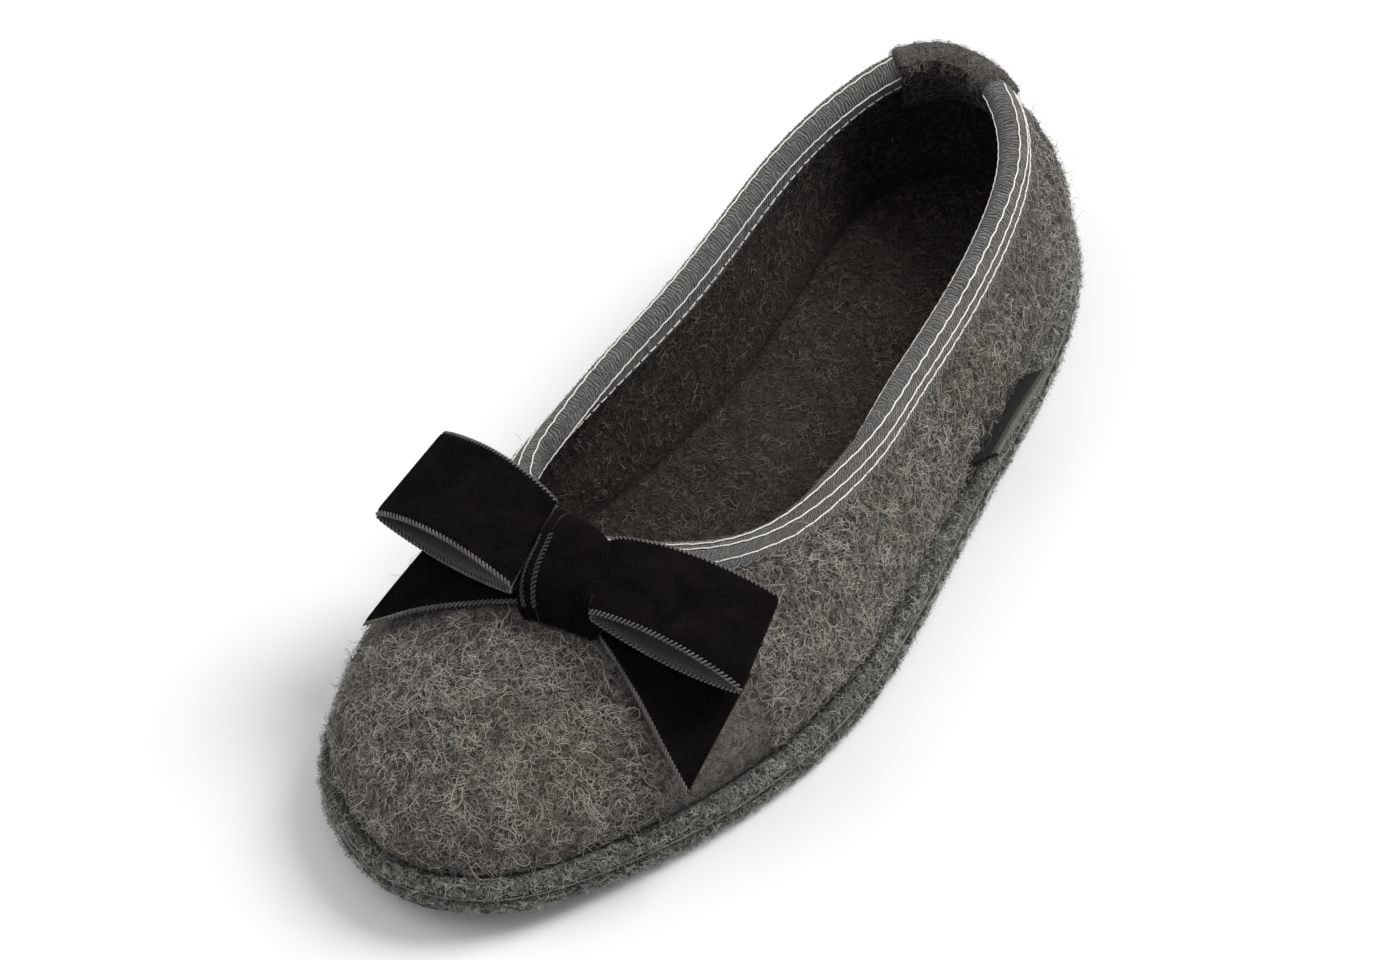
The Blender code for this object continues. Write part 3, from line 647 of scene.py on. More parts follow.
def rim_arc(edge, normal, up, count):
    """Rings over the felt's rounded top edge, from its outer face to its inner one."""
    middle = edge - normal * WALL / 2
    angles = math.pi * np.arange(1, count + 1) / (count + 1)
    out_reach, up_reach = normal * (WALL / 2), up * (WALL * RIM_ROUND)
    return [middle + out_reach * math.cos(a) + up_reach * math.sin(a) for a in angles]


inner_steps = np.linspace(1, 0, 15)
inner, inner_normals, _ = wall_frame(at, inner_steps)
inner_normals[-1] = out
inside = inner - inner_normals * WALL
inside = inside + inner_normals * (0.00025 * noise(inside, 0.005, 8))[..., None]
rim = rim_arc(outer[-1], normals[-1], up[-1], 5)
rings = np.array([foot, *felt_face, *rim, *inside, foot - out * WALL])
# The wall's inner face and the inner side of its rim take the darker inside felt: painted shade inside the
# slipper
picks = (np.arange(len(rings)) > FELT_UP + 4).astype(int)[:, None]
upper = add_grid("felt_upper", rings, [WOOL, INSIDE_SHADED], True, True, picks=picks)
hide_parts("upper")

# Rand and outsole
RAND_AROUND = 760
at = even_places(RAND_AROUND)
low, high = OUTSOLE_THICK + GAP, RAND_TOP - GAP
inner_edge = RAND_INSET + RAND_THICK
profile = (
    (inner_edge, low),
    (RAND_INSET + 0.9e-3, low),
    (RAND_INSET + 0.35e-3, low + 0.06 * RAND_HEIGHT),
    (RAND_INSET + 0.05e-3, low + 0.20 * RAND_HEIGHT),
    (RAND_INSET, low + 0.40 * RAND_HEIGHT),
    (RAND_INSET + 0.04 * RAND_THICK, low + 0.58 * RAND_HEIGHT),
    (RAND_INSET + 0.13 * RAND_THICK, low + 0.75 * RAND_HEIGHT),
    (RAND_INSET + 0.28 * RAND_THICK, low + 0.88 * RAND_HEIGHT),
    (RAND_INSET + 0.50 * RAND_THICK, high),
    (RAND_INSET + 0.75 * RAND_THICK, high + 0.0001),
    (inner_edge, high - 0.0003),
)
rings = []
for inset, z in profile:
    points, outward = outline(at, inset)
    ring_points = np.column_stack([points, z + floor_lift(points[:, 1])])
    shift = 0.00065 * noise(ring_points, 0.0024, 21) + 0.00030 * noise(ring_points, 0.0055, 22)
    shift = np.where(inset > RAND_INSET + 0.6 * RAND_THICK, 0.0, shift)
    rings.append(ring_points + np.column_stack([outward, np.zeros(RAND_AROUND)]) * shift[:, None])
rand_rings = np.array(rings)
rand = add_grid("felt_rand", rand_rings, [EDGE], True, True)
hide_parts("rand")


def edge_at(inset):
    points, _ = outline(even_places(3000), inset)
    toe, heel = int(np.argmin(points[:, 1])), int(np.argmax(points[:, 1]))
    turned = np.roll(points, -toe, axis=0)
    heel = (heel - toe) % len(points)
    outer_side, inner_side = turned[: heel + 1], np.vstack([turned[heel:], turned[:1]])[::-1]

    def span(y):
        low_x = np.interp(y, inner_side[:, 1], inner_side[:, 0])
        return low_x, np.interp(y, outer_side[:, 1], outer_side[:, 0])

    return span, float(points[:, 1].min()), float(points[:, 1].max())


def groove(y, first):
    """0 on a rib of the sole and 1 at the bottom of the groove beside it."""
    share = ((y - first) / RIB_PITCH) % 1.0
    return smooth(0.48, 0.68, share) * (1 - smooth(0.86, 1.0, share))


span, toe, heel = edge_at(0.0)
first = 0.5 * (toe + heel - int((heel - toe) / RIB_PITCH) * RIB_PITCH)
ends = np.array([0.00005, 0.0002, 0.0005, 0.001, 0.0016, 0.0024])
ys = np.concatenate([toe + ends, np.linspace(toe + 0.003, heel - 0.003, 520), heel - ends[::-1]])
rings = []
for y in ys:
    low_x, high_x = span(y)
    half = 0.5 * (high_x - low_x)
    middle = 0.5 * (low_x + high_x)
    cut = float(groove(y, first))
    step, under, side = (min(v, 0.3 * half) for v in (OUTSOLE_STEP, OUTSOLE_UNDERCUT, RIB_SIDE * cut))
    edge = (
        (half - step - 0.5e-3, OUTSOLE_THICK),
        (half - step, OUTSOLE_THICK - 0.0001),
        (half - 0.3 * step - 0.3 * side, 0.86 * OUTSOLE_THICK),
        (half - 0.7 * side, 0.70 * OUTSOLE_THICK),
        (half - side, 0.55 * OUTSOLE_THICK),
        (half - side - 0.12 * under, 0.38 * OUTSOLE_THICK),
        (half - side - 0.38 * under, 0.18 * OUTSOLE_THICK + 0.5 * RIB_DEPTH * cut),
        (half - side - 0.75 * under, 0.04 * OUTSOLE_THICK + 0.9 * RIB_DEPTH * cut),
        (half - side - 1.1 * under, RIB_DEPTH * cut),
        (0.6 * half, RIB_DEPTH * cut),
    )
    row = [(middle + max(x, 0.0), z) for x, z in edge] + [(middle - max(x, 0.0), z) for x, z in edge[::-1]]
    row = np.array([(x, y, z) for x, z in row])
    row[:, 2] += float(floor_lift(y))
    rings.append(row)
rings = np.array(rings)
centre = rings.mean(axis=1, keepdims=True)
sideways = unit((rings - centre) * np.array([1.0, 0.4, 0.0]))
shake = 0.00065 * noise(rings, 0.0026, 31) * (np.abs((rings - centre)[..., 0]) > 0.004)
outsole_rings = rings + sideways * shake[..., None]
lower_edge = np.zeros(rings.shape[1])
lower_edge[[6, 7, 8, 11, 12, 13]] = 1.0
outsole_rings[..., 2] += lower_edge * 0.0008 * np.clip(noise(rings, 0.0024, 33), 0, 1)
outsole = add_grid("felt_outsole", outsole_rings, [SOLE], False, True, caps=True)
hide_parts("outsole")

# Insole
span, toe, heel = edge_at(INSOLE_INSET)
ys = 0.5 * (toe + heel) - 0.5 * (heel - toe) * np.cos(math.pi * np.arange(1, 110) / 110)
rings = []
for y in ys:
    low_x, high_x = span(y)
    bottom = OUTSOLE_THICK + GAP + float(floor_lift(y))
    top = bottom + INSOLE_THICK
    arch = ARCH_RISE * math.exp(-(((y - 0.06 * LENGTH) / (0.14 * LENGTH)) ** 2))
    share = np.linspace(0, 1, 34)
    z = top + np.interp(share, (0, 0.12, 0.88, 1.0), (arch - 0.0008, arch, 0.0, -0.0008))
    over = np.column_stack([low_x + share * (high_x - low_x), np.full(34, y), z])
    over[1:-1, 2] += 0.00035 * noise(over[1:-1], 0.006, 41)
    under = over[::-1] * np.array([1.0, 1.0, 0.0]) + np.array([0.0, 0.0, bottom])
    rings.append(np.vstack([over, under]))
insole_rings = np.array(rings)
insole = add_grid("felt_footbed", insole_rings, [BED_SHADED], False, True, caps=True)
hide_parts("insole")


# Collar cloth: points and normals at each place round the collar and each distance q from the felt's
# edge, above zero down the outside and below zero over the rim and down the inside.
COLLAR_FINE = 1760
RIM_SPAN = 0.0068
collar_at = np.linspace(0, AROUND, COLLAR_FINE + 1)
collar_steps = np.linspace(0.2, 1, 81)
cloth_points, cloth_normals, cloth_up = wall_frame(collar_at, collar_steps)
fall = np.linalg.norm(np.diff(cloth_points, axis=0), axis=2)
fall = np.concatenate([np.cumsum(fall[::-1], axis=0)[::-1], np.zeros((1, COLLAR_FINE + 1))])
LEG_Q = np.arange(0.0, 0.0181, 0.0005)
ARC = 12


def leg_rows(values):
    made = np.empty((len(LEG_Q), COLLAR_FINE + 1, 3))
    for k in range(COLLAR_FINE + 1):
        for axis in range(3):
            made[:, k, axis] = np.interp(LEG_Q, fall[::-1, k], values[::-1, k, axis])
    return made


out_points, out_normals = leg_rows(cloth_points), unit(leg_rows(cloth_normals))
in_points = out_points - out_normals * WALL
edge_point, edge_normal, edge_up = cloth_points[-1], cloth_normals[-1], cloth_up[-1]
rim_middle = edge_point - edge_normal * WALL / 2
rim_points, rim_normals = [], []
for angle in math.pi * np.arange(1, ARC + 1) / (ARC + 1):
    out_part, up_part = edge_normal * math.cos(angle), edge_up * math.sin(angle)
    rim_points.append(rim_middle + out_part * WALL / 2 + up_part * WALL * RIM_ROUND)
    rim_normals.append(unit(out_part + up_part * 1.2))
rim_points, rim_normals = np.array(rim_points), np.array(rim_normals)
CLOTH_Q = np.concatenate([LEG_Q[::-1], -RIM_SPAN * np.arange(1, ARC + 1) / (ARC + 1), -RIM_SPAN - LEG_Q])
CLOTH = np.concatenate([out_points[::-1], rim_points, in_points])
CLOTH_NORMALS = np.concatenate([out_normals[::-1], rim_normals, -out_normals])


def on_collar(place, q, stand):
    """Points that stand off the felt at places and distances q, and the normals there."""
    place, q, stand = np.broadcast_arrays(place, q, stand)
    column = (place % AROUND) / AROUND * COLLAR_FINE
    left = np.clip(np.floor(column).astype(int), 0, COLLAR_FINE - 1)
    right_share = (column - left)[..., None]
    row = np.interp(-q, -CLOTH_Q, np.arange(len(CLOTH_Q)))
    top = np.clip(np.floor(row).astype(int), 0, len(CLOTH_Q) - 2)
    low_share = (row - top)[..., None]

    def read(grid):
        upper_row = grid[top, left] * (1 - right_share) + grid[top, left + 1] * right_share
        lower_row = grid[top + 1, left] * (1 - right_share) + grid[top + 1, left + 1] * right_share
        return upper_row * (1 - low_share) + lower_row * low_share

    normal = unit(read(CLOTH_NORMALS))
    return read(CLOTH) + normal * stand[..., None], normal


def collar_places(low, high, count):
    fine = np.linspace(HEEL_SECTION - AROUND, HEEL_SECTION + AROUND, 8001)
    points = wall_curve(fine, [1.0])[0]
    walked = np.concatenate([[0], np.cumsum(np.linalg.norm(np.diff(points, axis=0), axis=1))])
    walked -= 0.5 * walked[-1]
    if high < low:
        high += walked[-1]
    return np.interp(np.linspace(low, high, count), walked, fine), high - low


def around(table, place):
    """A value in mm at each place, from a table of places and values, smooth round the collar."""
    places = np.array([row[0] for row in table])
    values = np.array([row[1] for row in table]) / 1000
    return np.interp(np.asarray(place) % AROUND, places, values)


# Distances from the felt's edge in mm at places round the collar
TAPE_EDGE = (
    (0, 10.0), (3.0, 10.8), (3.7, 11.0), (4.3, 10.2), (5, 8.4), (6.5, 6.4), (8, 5.6), (11, 6.4), (16, 7.4),
    (22, 10.0),
)
ROW_RIM = (
    (0, 0.3), (3.5, 0.5), (4.7, 0.0), (7.7, -1.2), (10.4, -0.9), (12.5, -2.7), (18.5, -2.0), (19.5, -1.4),
    (22, 0.3),
)
ROW_NEAR = (
    (0, 1.8), (1.7, 2.0), (2.4, 2.5), (3.0, 3.5), (3.6, 4.4), (4.15, 4.5), (4.64, 4.0), (6, 2.6), (7.9, 1.5),
    (8.6, 1.0), (9.3, 2.0), (9.75, 3.0), (12, 2.5), (16, 2.0), (19, 2.0), (22, 1.8),
)
ROW_FAR = (
    (0, 6.3), (2.3, 7.0), (2.9, 7.5), (3.5, 8.4), (4, 8.0), (4.5, 7.0), (6, 4.6), (8, 3.5), (9.2, 3.0),
    (10, 4.0), (12, 4.5), (16, 5.0), (20, 6.0), (22, 6.3),
)
ROW_INNER = (
    (0, -6.2), (9.2, -5.7), (10.2, -5.7), (12.4, -7.0), (13, -7.0), (18.3, -6.5), (20, -6.5), (22, -6.2),
)
ROW_DEEP = ((0, -10.8), (11, -11.4), (17.5, -11.2), (22, -10.8))
TAPE_DEEP = 0.0138

tab_low, tab_high = TAB_SHIFT - 0.5 * TAB_WIDTH, TAB_SHIFT + 0.5 * TAB_WIDTH
TAPE_STATIONS = 1600
TAPE_ACROSS = 14
RIDGE_STEP = 0.0011
tape_at, tape_length = collar_places(-tab_low + GAP, -tab_high - GAP, TAPE_STATIONS)
walk = np.linspace(0, tape_length, TAPE_STATIONS)
outside_q = around(TAPE_EDGE, tape_at)
frays = 0.00045 * noise(np.column_stack([walk, walk * 0, walk * 0]), 0.0016, 51)
share = np.linspace(0, 1, TAPE_ACROSS)[None, :]
top_q = (outside_q + frays)[:, None] * (1 - share) - TAPE_DEEP * share
ridge_turns = 2 * math.pi * (walk[:, None] + RIB_SLANT * top_q) / RIDGE_STEP
ribbing = np.sin(ridge_turns + 1.6 * np.sin(walk[:, None] / 0.0041))
thick = TAPE_THICK * (0.40 + 0.60 * smooth(0, 0.06, share) * (1 - smooth(0.94, 1, share)))
thick = thick + 0.00006 * ribbing
over, _ = on_collar(tape_at[:, None], top_q, GAP + thick)
under, _ = on_collar(tape_at[:, None], top_q[:, ::-1], GAP * 0.7)
tape_grid = np.concatenate([over, under], axis=1)
uv = np.stack(np.broadcast_arrays(walk[:, None], np.concatenate([top_q, top_q[:, ::-1]], axis=1)), axis=-1)
tape = add_grid("collar_binding", tape_grid, [TAPE], False, True, caps=True, uv=uv)
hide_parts("collar_tape")

# Heel tab, felt outside and over the rim, and the darker inside felt, painted shade inside the slipper, from
# this share of its length on
TAB_STATIONS = 76
TAB_ROWS = 44
TAB_INNER_FROM = 0.44
tab_at, _ = collar_places(-tab_high, -tab_low, TAB_STATIONS)
share = np.linspace(0, 1, TAB_ROWS)[None, :]
q = np.tile(TAB_OUTSIDE * (1 - share) - (RIM_SPAN + TAB_INSIDE) * share, (TAB_STATIONS, 1))
flat_across = np.broadcast_to(np.linspace(0, TAB_WIDTH, TAB_STATIONS)[:, None], q.shape)
flat_place = np.stack([flat_across, q, np.zeros_like(q)], axis=-1)
across = np.linspace(-1, 1, TAB_STATIONS)[:, None]
ends_up = 0.00055 * np.exp(-(((np.abs(across) - 0.90) / 0.07) ** 2))
rounded = smooth(0, 0.035, share) * (1 - smooth(0.965, 1, share)) * (1 - smooth(0.965, 1.0, np.abs(across)))
stand = 0.0005 + 0.0013 * (0.25 + 0.75 * rounded) + ends_up + 0.00022 * noise(flat_place, 0.0022, 61)
q = q + 0.0006 * noise(flat_place, 0.004, 62) * (1 - rounded)
tab_over, _ = on_collar(tab_at[:, None], q, GAP + stand)
tab_under, _ = on_collar(tab_at[:, None], q[:, ::-1], GAP * 0.7)
picks = np.concatenate([share[0] > TAB_INNER_FROM, np.zeros(TAB_ROWS, dtype=bool)]).astype(int)[None, :]
tab_grid = np.concatenate([tab_over, tab_under], axis=1)
tab = add_grid("heel_patch", tab_grid, [TAB, INSIDE_SHADED], False, True, True, picks)
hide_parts("heel_tab")


def stitch_row(table, stand, pitch, seed, gap=0.05, slant=0.00010):
    """Short threads along a row round the collar, each dipping into the tape at both ends."""
    count = int(tape_length / pitch)
    draw = np.random.default_rng(seed)
    start = (np.arange(count) + 0.06 * draw.random(count)) * pitch
    t = np.linspace(0, 1, 6)[None, :]
    s = start[:, None] + t * pitch * (1 - gap)
    place = np.interp(s, walk, tape_at)
    q = around(table, place) + slant * np.where(np.arange(count) % 2, 1, -1)[:, None] * (2 * t - 1)
    q = q + 0.00008 * (draw.random((count, 1)) - 0.5)
    dip = stand * (0.72 + 0.28 * np.sin(math.pi * t))
    return on_collar(place, q, GAP + TAPE_THICK - 0.00012 + dip)


rows = [stitch_row(ROW_RIM, 0.00036, 0.0022, 1, -0.04), stitch_row(ROW_NEAR, 0.00036, 0.0022, 2, -0.04)]
rows += [stitch_row(ROW_FAR, 0.00032, 0.0022, 3, 0.06), stitch_row(ROW_INNER, 0.00032, 0.0024, 4, -0.02)]
rows += [stitch_row(ROW_DEEP, 0.00024, 0.0028, 5, 0.22)]
add_tubes("collar_stitches", rows, 0.00018, 5, STITCH, False)


def zigzag():
    """The overlocking thread at the tape's outer edge."""
    pitch = 0.0026
    count = int(tape_length / pitch)
    draw = np.random.default_rng(9)
    start = np.arange(count) * pitch
    t = np.linspace(0, 1, 9)[None, :]
    s = start[:, None] + pitch * 0.96 * t
    place = np.interp(s, walk, tape_at)
    reach = 0.0013 * (0.7 + 0.6 * draw.random((count, 1)))
    q = around(TAPE_EDGE, place) - 0.0013 + reach * np.sin(math.pi * t) ** 1.4
    return on_collar(place, q, 0.0006 + TAPE_THICK * 0.5 + 0.0002 * np.sin(math.pi * t))


add_tubes("collar_overlock", [zigzag()], 0.00016, 5, OVERLOCK)

# Velvet bow. Places are shares of the bow's span from its middle, across and along, and turns are degrees.
# Each loop: node, root across and along, its turn, how far the ribbon is gathered there, fold across and
# along, its turn, and the loop's droop as a share of its height
LOOPS = (
    ("bow_loop_left", -0.102, 0.029, 10.3, 0.95, -0.492, 0.111, 0.6, 0.24),
    ("bow_loop_right", 0.080, 0.015, 18.7, 0.78, 0.466, 0.044, 14.0, 0.54),
)
# Each tail: node, root across and along, its turn and gather, then its rear and front tips across and along
TAILS = (
    ("bow_tail_left", -0.105, 0.048, 10.3, 0.82, -0.370, 0.050, -0.412, -0.222),
    ("bow_tail_right", 0.077, 0.025, 18.7, 0.66, 0.440, 0.030, 0.452, -0.268),
)


def height_over(names):
    trees = []
    for name in names:
        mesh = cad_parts[name].data
        corners = [tuple(v.co) for v in mesh.vertices]
        trees.append(BVHTree.FromPolygons(corners, [tuple(p.vertices) for p in mesh.polygons]))

    def seat(x, y, reach=0.0015):
        best = -1.0
        for dx, dy, tree in itertools.product((-reach, 0.0, reach), (-reach, 0.0, reach), trees):
            hit = tree.ray_cast((x + dx, y + dy, 1.0), (0.0, 0.0, -1.0))[0]
            if hit is not None:
                best = max(best, hit.z)
        return best

    return seat


def turned(degrees):
    angle = math.radians(degrees)
    return np.array([-math.sin(angle), math.cos(angle)])


def root_point(row, side):
    _, root_across, root_along, root_turn, gather = row[:5]
    half = 0.5 * RIBBON_WIDTH * gather * side
    return bow_middle + BOW_SPAN * np.array([root_across, root_along]) + half * turned(root_turn)


def fold_point(row, side):
    half = 0.5 * RIBBON_WIDTH * side
    return bow_middle + BOW_SPAN * np.array(row[5:7]) + half * turned(row[7])


throat, _ = plan_curve("collar_across", "collar_along", np.array([0.0]), 0.0)
bow_middle = throat[0] + np.array([0.02 * BOW_SPAN, -BOW_SETBACK])
seat = height_over(("upper", "collar_tape"))

# Knot: rings from rear to front over the CAD knot's footprint
KNOT_SHARES = (0.0, 0.06, 0.18, 0.34, 0.5, 0.66, 0.82, 0.94, 1.0)


def knot_ends(share):
    left, right = LOOPS
    a = root_point(left, 1) + share * (root_point(left, -1) - root_point(left, 1))
    b = root_point(right, 1) + share * (root_point(right, -1) - root_point(right, 1))
    return a, b


def knot_foot(share):
    a, b = knot_ends(share)
    places = [0.5 * (a + b) + 0.5 * (b - a) * k for k in (-1.0, -0.5, 0.0, 0.5, 1.0)]
    return max(seat(x, y, 0.002) for x, y in places) + GAP


knot_feet = [knot_foot(share) for share in KNOT_SHARES]
root_height = knot_feet[4] + LOOP_SEAT


def knot_surface(alpha, phi, lift):
    """Points of the knot: alpha runs from the rear to the front and phi from the left to the right."""
    alpha, phi, lift = np.broadcast_arrays(alpha, phi, lift)
    sy = np.sign(np.cos(alpha)) * np.abs(np.cos(alpha)) ** 0.66
    sz = np.abs(np.sin(alpha)) ** 0.58
    cx = -np.sign(np.cos(phi)) * np.abs(np.cos(phi)) ** 0.72
    cz = np.abs(np.sin(phi)) ** 0.62
    share = 0.5 - 0.5 * sy
    foot_z = np.interp(share, KNOT_SHARES, knot_feet) - 0.0002
    made =np.empty(alpha.shape + (3,))
    ends_a = np.array([knot_ends(s)[0] for s in (0.0, 1.0)])
    ends_b = np.array([knot_ends(s)[1] for s in (0.0, 1.0)])
    a = ends_a[0] + share[..., None] * (ends_a[1] - ends_a[0])
    b = ends_b[0] + share[..., None] * (ends_b[1] - ends_b[0])
    half = 0.5 * (np.linalg.norm(b - a, axis=-1, keepdims=True) - 2 * GAP) + lift[..., None]
    half = half * (0.74 + 0.34 * sz[..., None])
    way = unit(b - a)
    made[..., :2] = 0.5 * (a + b) + way * half * cx[..., None]
    made[..., 2] = foot_z + (KNOT_HEIGHT + 0.0006 + lift) * cz * sz
    return made


def knot_layer(name, phi_low, phi_high, lift, thick=0.0011, bow_out=0.0):
    """One turn of the ribbon over the knot, between two lines from the rear to the front."""
    rows, cols = 46, 24
    alpha = np.linspace(0.02, math.pi - 0.02, rows)[:, None]
    share = np.linspace(0, 1, cols)[None, :]
    shape = np.sin(alpha)
    low_line = phi_low[0] + (phi_low[1] - phi_low[0]) * (alpha / math.pi) - bow_out * shape
    high_line = phi_high[0] + (phi_high[1] - phi_high[0]) * (alpha / math.pi)
    phi = low_line + (high_line - low_line) * share
    edge = 1 - smooth(0.0, 0.10, share) * (1 - smooth(0.90, 1.0, share))
    wave = 0.00018 * np.sin(6.5 * share + 2.2 * alpha + lift * 4000) * shape
    over = knot_surface(alpha, phi, lift + thick * (1 - 0.35 * edge) + wave)
    under = knot_surface(alpha, phi[:, ::-1], lift)
    picks = (np.arange(2 * cols) >= cols).astype(int)[None, :]
    walk_u = np.repeat(np.linspace(0, 0.030, rows)[:, None], cols, axis=1)
    walk_v = 0.018 * (phi - phi.min())
    uv = np.stack([np.hstack([walk_u, walk_u]), np.hstack([walk_v, walk_v[:, ::-1]])], axis=-1)
    grid = np.concatenate([over, under], axis=1)
    return add_grid(name, grid, [VELVET, SATIN], False, True, True, picks, uv), over


core, _ = knot_layer("knot_under", (0.04, 0.04), (math.pi - 0.04, math.pi - 0.04), -0.0012, 0.0008)
_, over_a = knot_layer("knot_turn_left", (0.10, 0.10), (1.60, 1.30), -0.0003, bow_out=0.06)
_, over_b = knot_layer("knot_turn_middle", (1.25, 0.80), (1.95, 1.75), 0.0004, bow_out=0.10)
_, over_c = knot_layer("knot_turn_top", (1.62, 1.22), (math.pi - 0.05, math.pi - 0.05), 0.0011, bow_out=0.10)
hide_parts("bow_knot")

selvedges = []


def add_selvedge(path, normal, inward):
    """Notes the twisted edge of the ribbon along a path, set a little into the velvet."""
    selvedges.append((np.asarray(path), np.asarray(normal), np.asarray(inward)))


def loop_paths(row):
    """The ribbon's middle surface, out along the lower layer and back along the upper."""
    sides = np.linspace(1, -1, 27)
    steps = np.linspace(0, 1, 26)
    pinch = 0.5 * LOOP_PINCH
    swell = LOOP_HEIGHT - RIBBON_THICK - LOOP_PINCH
    flip = -1 if "left" in row[0] else 1
    columns, columns_n = [], []
    for side in sides:
        root, fold = root_point(row, side), fold_point(row, side)
        run = np.linalg.norm(fold - root) - pinch - 0.5 * RIBBON_THICK
        heading = (fold - root) / np.linalg.norm(fold - root)
        mid = root_height - row[8] * LOOP_HEIGHT * steps
        open_by = swell * np.sin(math.pi * steps) ** 0.8
        pleat = 0.00055 * (1 - steps) ** 2 * np.sin(2.2 * math.pi * side + 0.6) * smooth(0, 0.08, steps)
        wave = 0.00035 * np.sin(math.pi * steps) * np.sin(2.1 * side + flip * 2.2 * steps)
        lower = np.column_stack([run * steps, mid - pinch - (1 - LOOP_CROWN) * open_by + 0.5 * pleat])
        upper_line = np.column_stack([run * steps, mid + pinch + LOOP_CROWN * open_by + pleat + wave])
        turns = np.radians(np.linspace(-75, 75, 9))
        bend = np.column_stack([run + pinch * np.cos(turns), mid[-1] + pinch * np.sin(turns)])
        path = np.vstack([lower, bend, upper_line[::-1]])
        tangent = unit(np.gradient(path, axis=0))
        normal = np.column_stack([tangent[:, 1], -tangent[:, 0]])
        columns.append(np.column_stack([root + path[:, :1] * heading, path[:, 1]]))
        columns_n.append(np.column_stack([normal[:, :1] * heading, normal[:, 1]]))
    return np.array(columns).transpose(1, 0, 2), np.array(columns_n).transpose(1, 0, 2)


def add_ribbon(name, middle, normal, node, both=(VELVET, SATIN)):
    """A ribbon from its middle surface: stations x places across x 3."""
    rows, cols = middle.shape[:2]
    share = np.abs(np.linspace(-1, 1, cols))
    half = 0.5 * RIBBON_THICK * (0.28 + 0.72 * (1 - smooth(0.90, 1.0, share)))[None, :, None]
    outer_face = middle + normal * half
    inner_face = middle - normal * half
    grid = np.concatenate([outer_face, inner_face[:, ::-1]], axis=1)
    walk_u = np.concatenate([[0], np.cumsum(np.linalg.norm(np.diff(middle[:, cols // 2], axis=0), axis=1))])
    walk_v = np.linspace(0, RIBBON_WIDTH, cols)
    v = np.concatenate([walk_v, walk_v[::-1]])
    uv = np.stack(np.broadcast_arrays(walk_u[:, None], v[None, :]), axis=-1)
    picks = (np.arange(2 * cols) >= cols).astype(int)[None, :]
    piece = add_grid(name, grid, list(both), False, True, True, picks, uv)
    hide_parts(node)
    for column, step in ((0, 1), (-1, -1)):
        path = middle[:, column]
        beside = middle[:, column + 3 * step]
        add_selvedge(path, normal[:, column], unit(beside - path))
    return piece


for row in LOOPS:
    middle_surface, normal_surface = loop_paths(row)
    add_ribbon("ribbon_" + row[0][4:], middle_surface, normal_surface, row[0])


def tail_surface(row):
    """The tail's middle surface, lying on the vamp, with its cut edge a little lifted."""
    rear_tip = bow_middle + BOW_SPAN * np.array(row[5:7])
    front_tip = bow_middle + BOW_SPAN * np.array(row[7:9])
    coarse = []
    coarse_sides = np.linspace(1, -1, 5)
    for side in coarse_sides:
        root = root_point(row, side)
        tip = 0.5 * (1 + side) * rear_tip + 0.5 * (1 - side) * front_tip
        step = np.linalg.norm(tip - root) / 10
        low = -1.0
        column = []
        for share in np.linspace(0, 1, 11):
            x, y = root + share * (tip - root)
            low = max(seat(x, y, 0.003) + GAP, low - TAIL_DROOP * step)
            column.append(low)
        coarse.append(column)
    coarse = np.array(coarse)
    sides = np.linspace(1, -1, 37)
    shares = np.linspace(0, 1, 46)
    fine = np.array([np.interp(shares, np.linspace(0, 1, 11), column) for column in coarse])
    fine = np.array([np.interp(sides, coarse_sides[::-1], fine[::-1, k]) for k in range(len(shares))])
    kernel = np.array([1, 3, 5, 3, 1]) / 13
    padded = np.pad(fine, ((2, 2), (2, 2)), mode="edge")
    padded = np.apply_along_axis(lambda line: np.convolve(line, kernel, "valid"), 0, padded)
    fine = np.apply_along_axis(lambda line: np.convolve(line, kernel, "valid"), 1, padded)
    surface = np.empty((len(shares), len(sides), 3))
    for j, side in enumerate(sides):
        root = root_point(row, side)
        tip = 0.5 * (1 + side) * rear_tip + 0.5 * (1 - side) * front_tip
        surface[:, j, :2] = root + shares[:, None] * (tip - root)
    curl = 0.0009 * smooth(0.80, 1.0, shares)[:, None]
    pleats = 0.0005 * (1 - shares[:, None]) ** 2 * np.sin(2.4 * math.pi * sides + 0.9)
    surface[..., 2] = fine + 0.5 * RIBBON_THICK + 0.0001 + curl + pleats + 0.0002
    along = np.gradient(surface, axis=0)
    beside = np.gradient(surface, axis=1)
    normal = unit(np.cross(beside, along))
    return surface, normal * np.sign(normal[..., 2:])


covers = [over_a, over_b, over_c]
for row in TAILS:
    middle_surface, normal_surface = tail_surface(row)
    add_ribbon("ribbon_" + row[0][4:], middle_surface, normal_surface, row[0])
    covers.append(middle_surface)
FRONT_OF_KNOT = slice(22, -3)
for over in (over_b, over_c):
    down = np.gradient(over, axis=0)
    beside = np.gradient(over, axis=1)
    normal = unit(np.cross(beside, down))
    normal = normal * np.where(normal[..., 2:].mean() < 0, -1, 1)
    edge, within = over[FRONT_OF_KNOT, 0], over[FRONT_OF_KNOT, 3]
    add_selvedge(edge, normal[FRONT_OF_KNOT, 0], unit(within - edge))


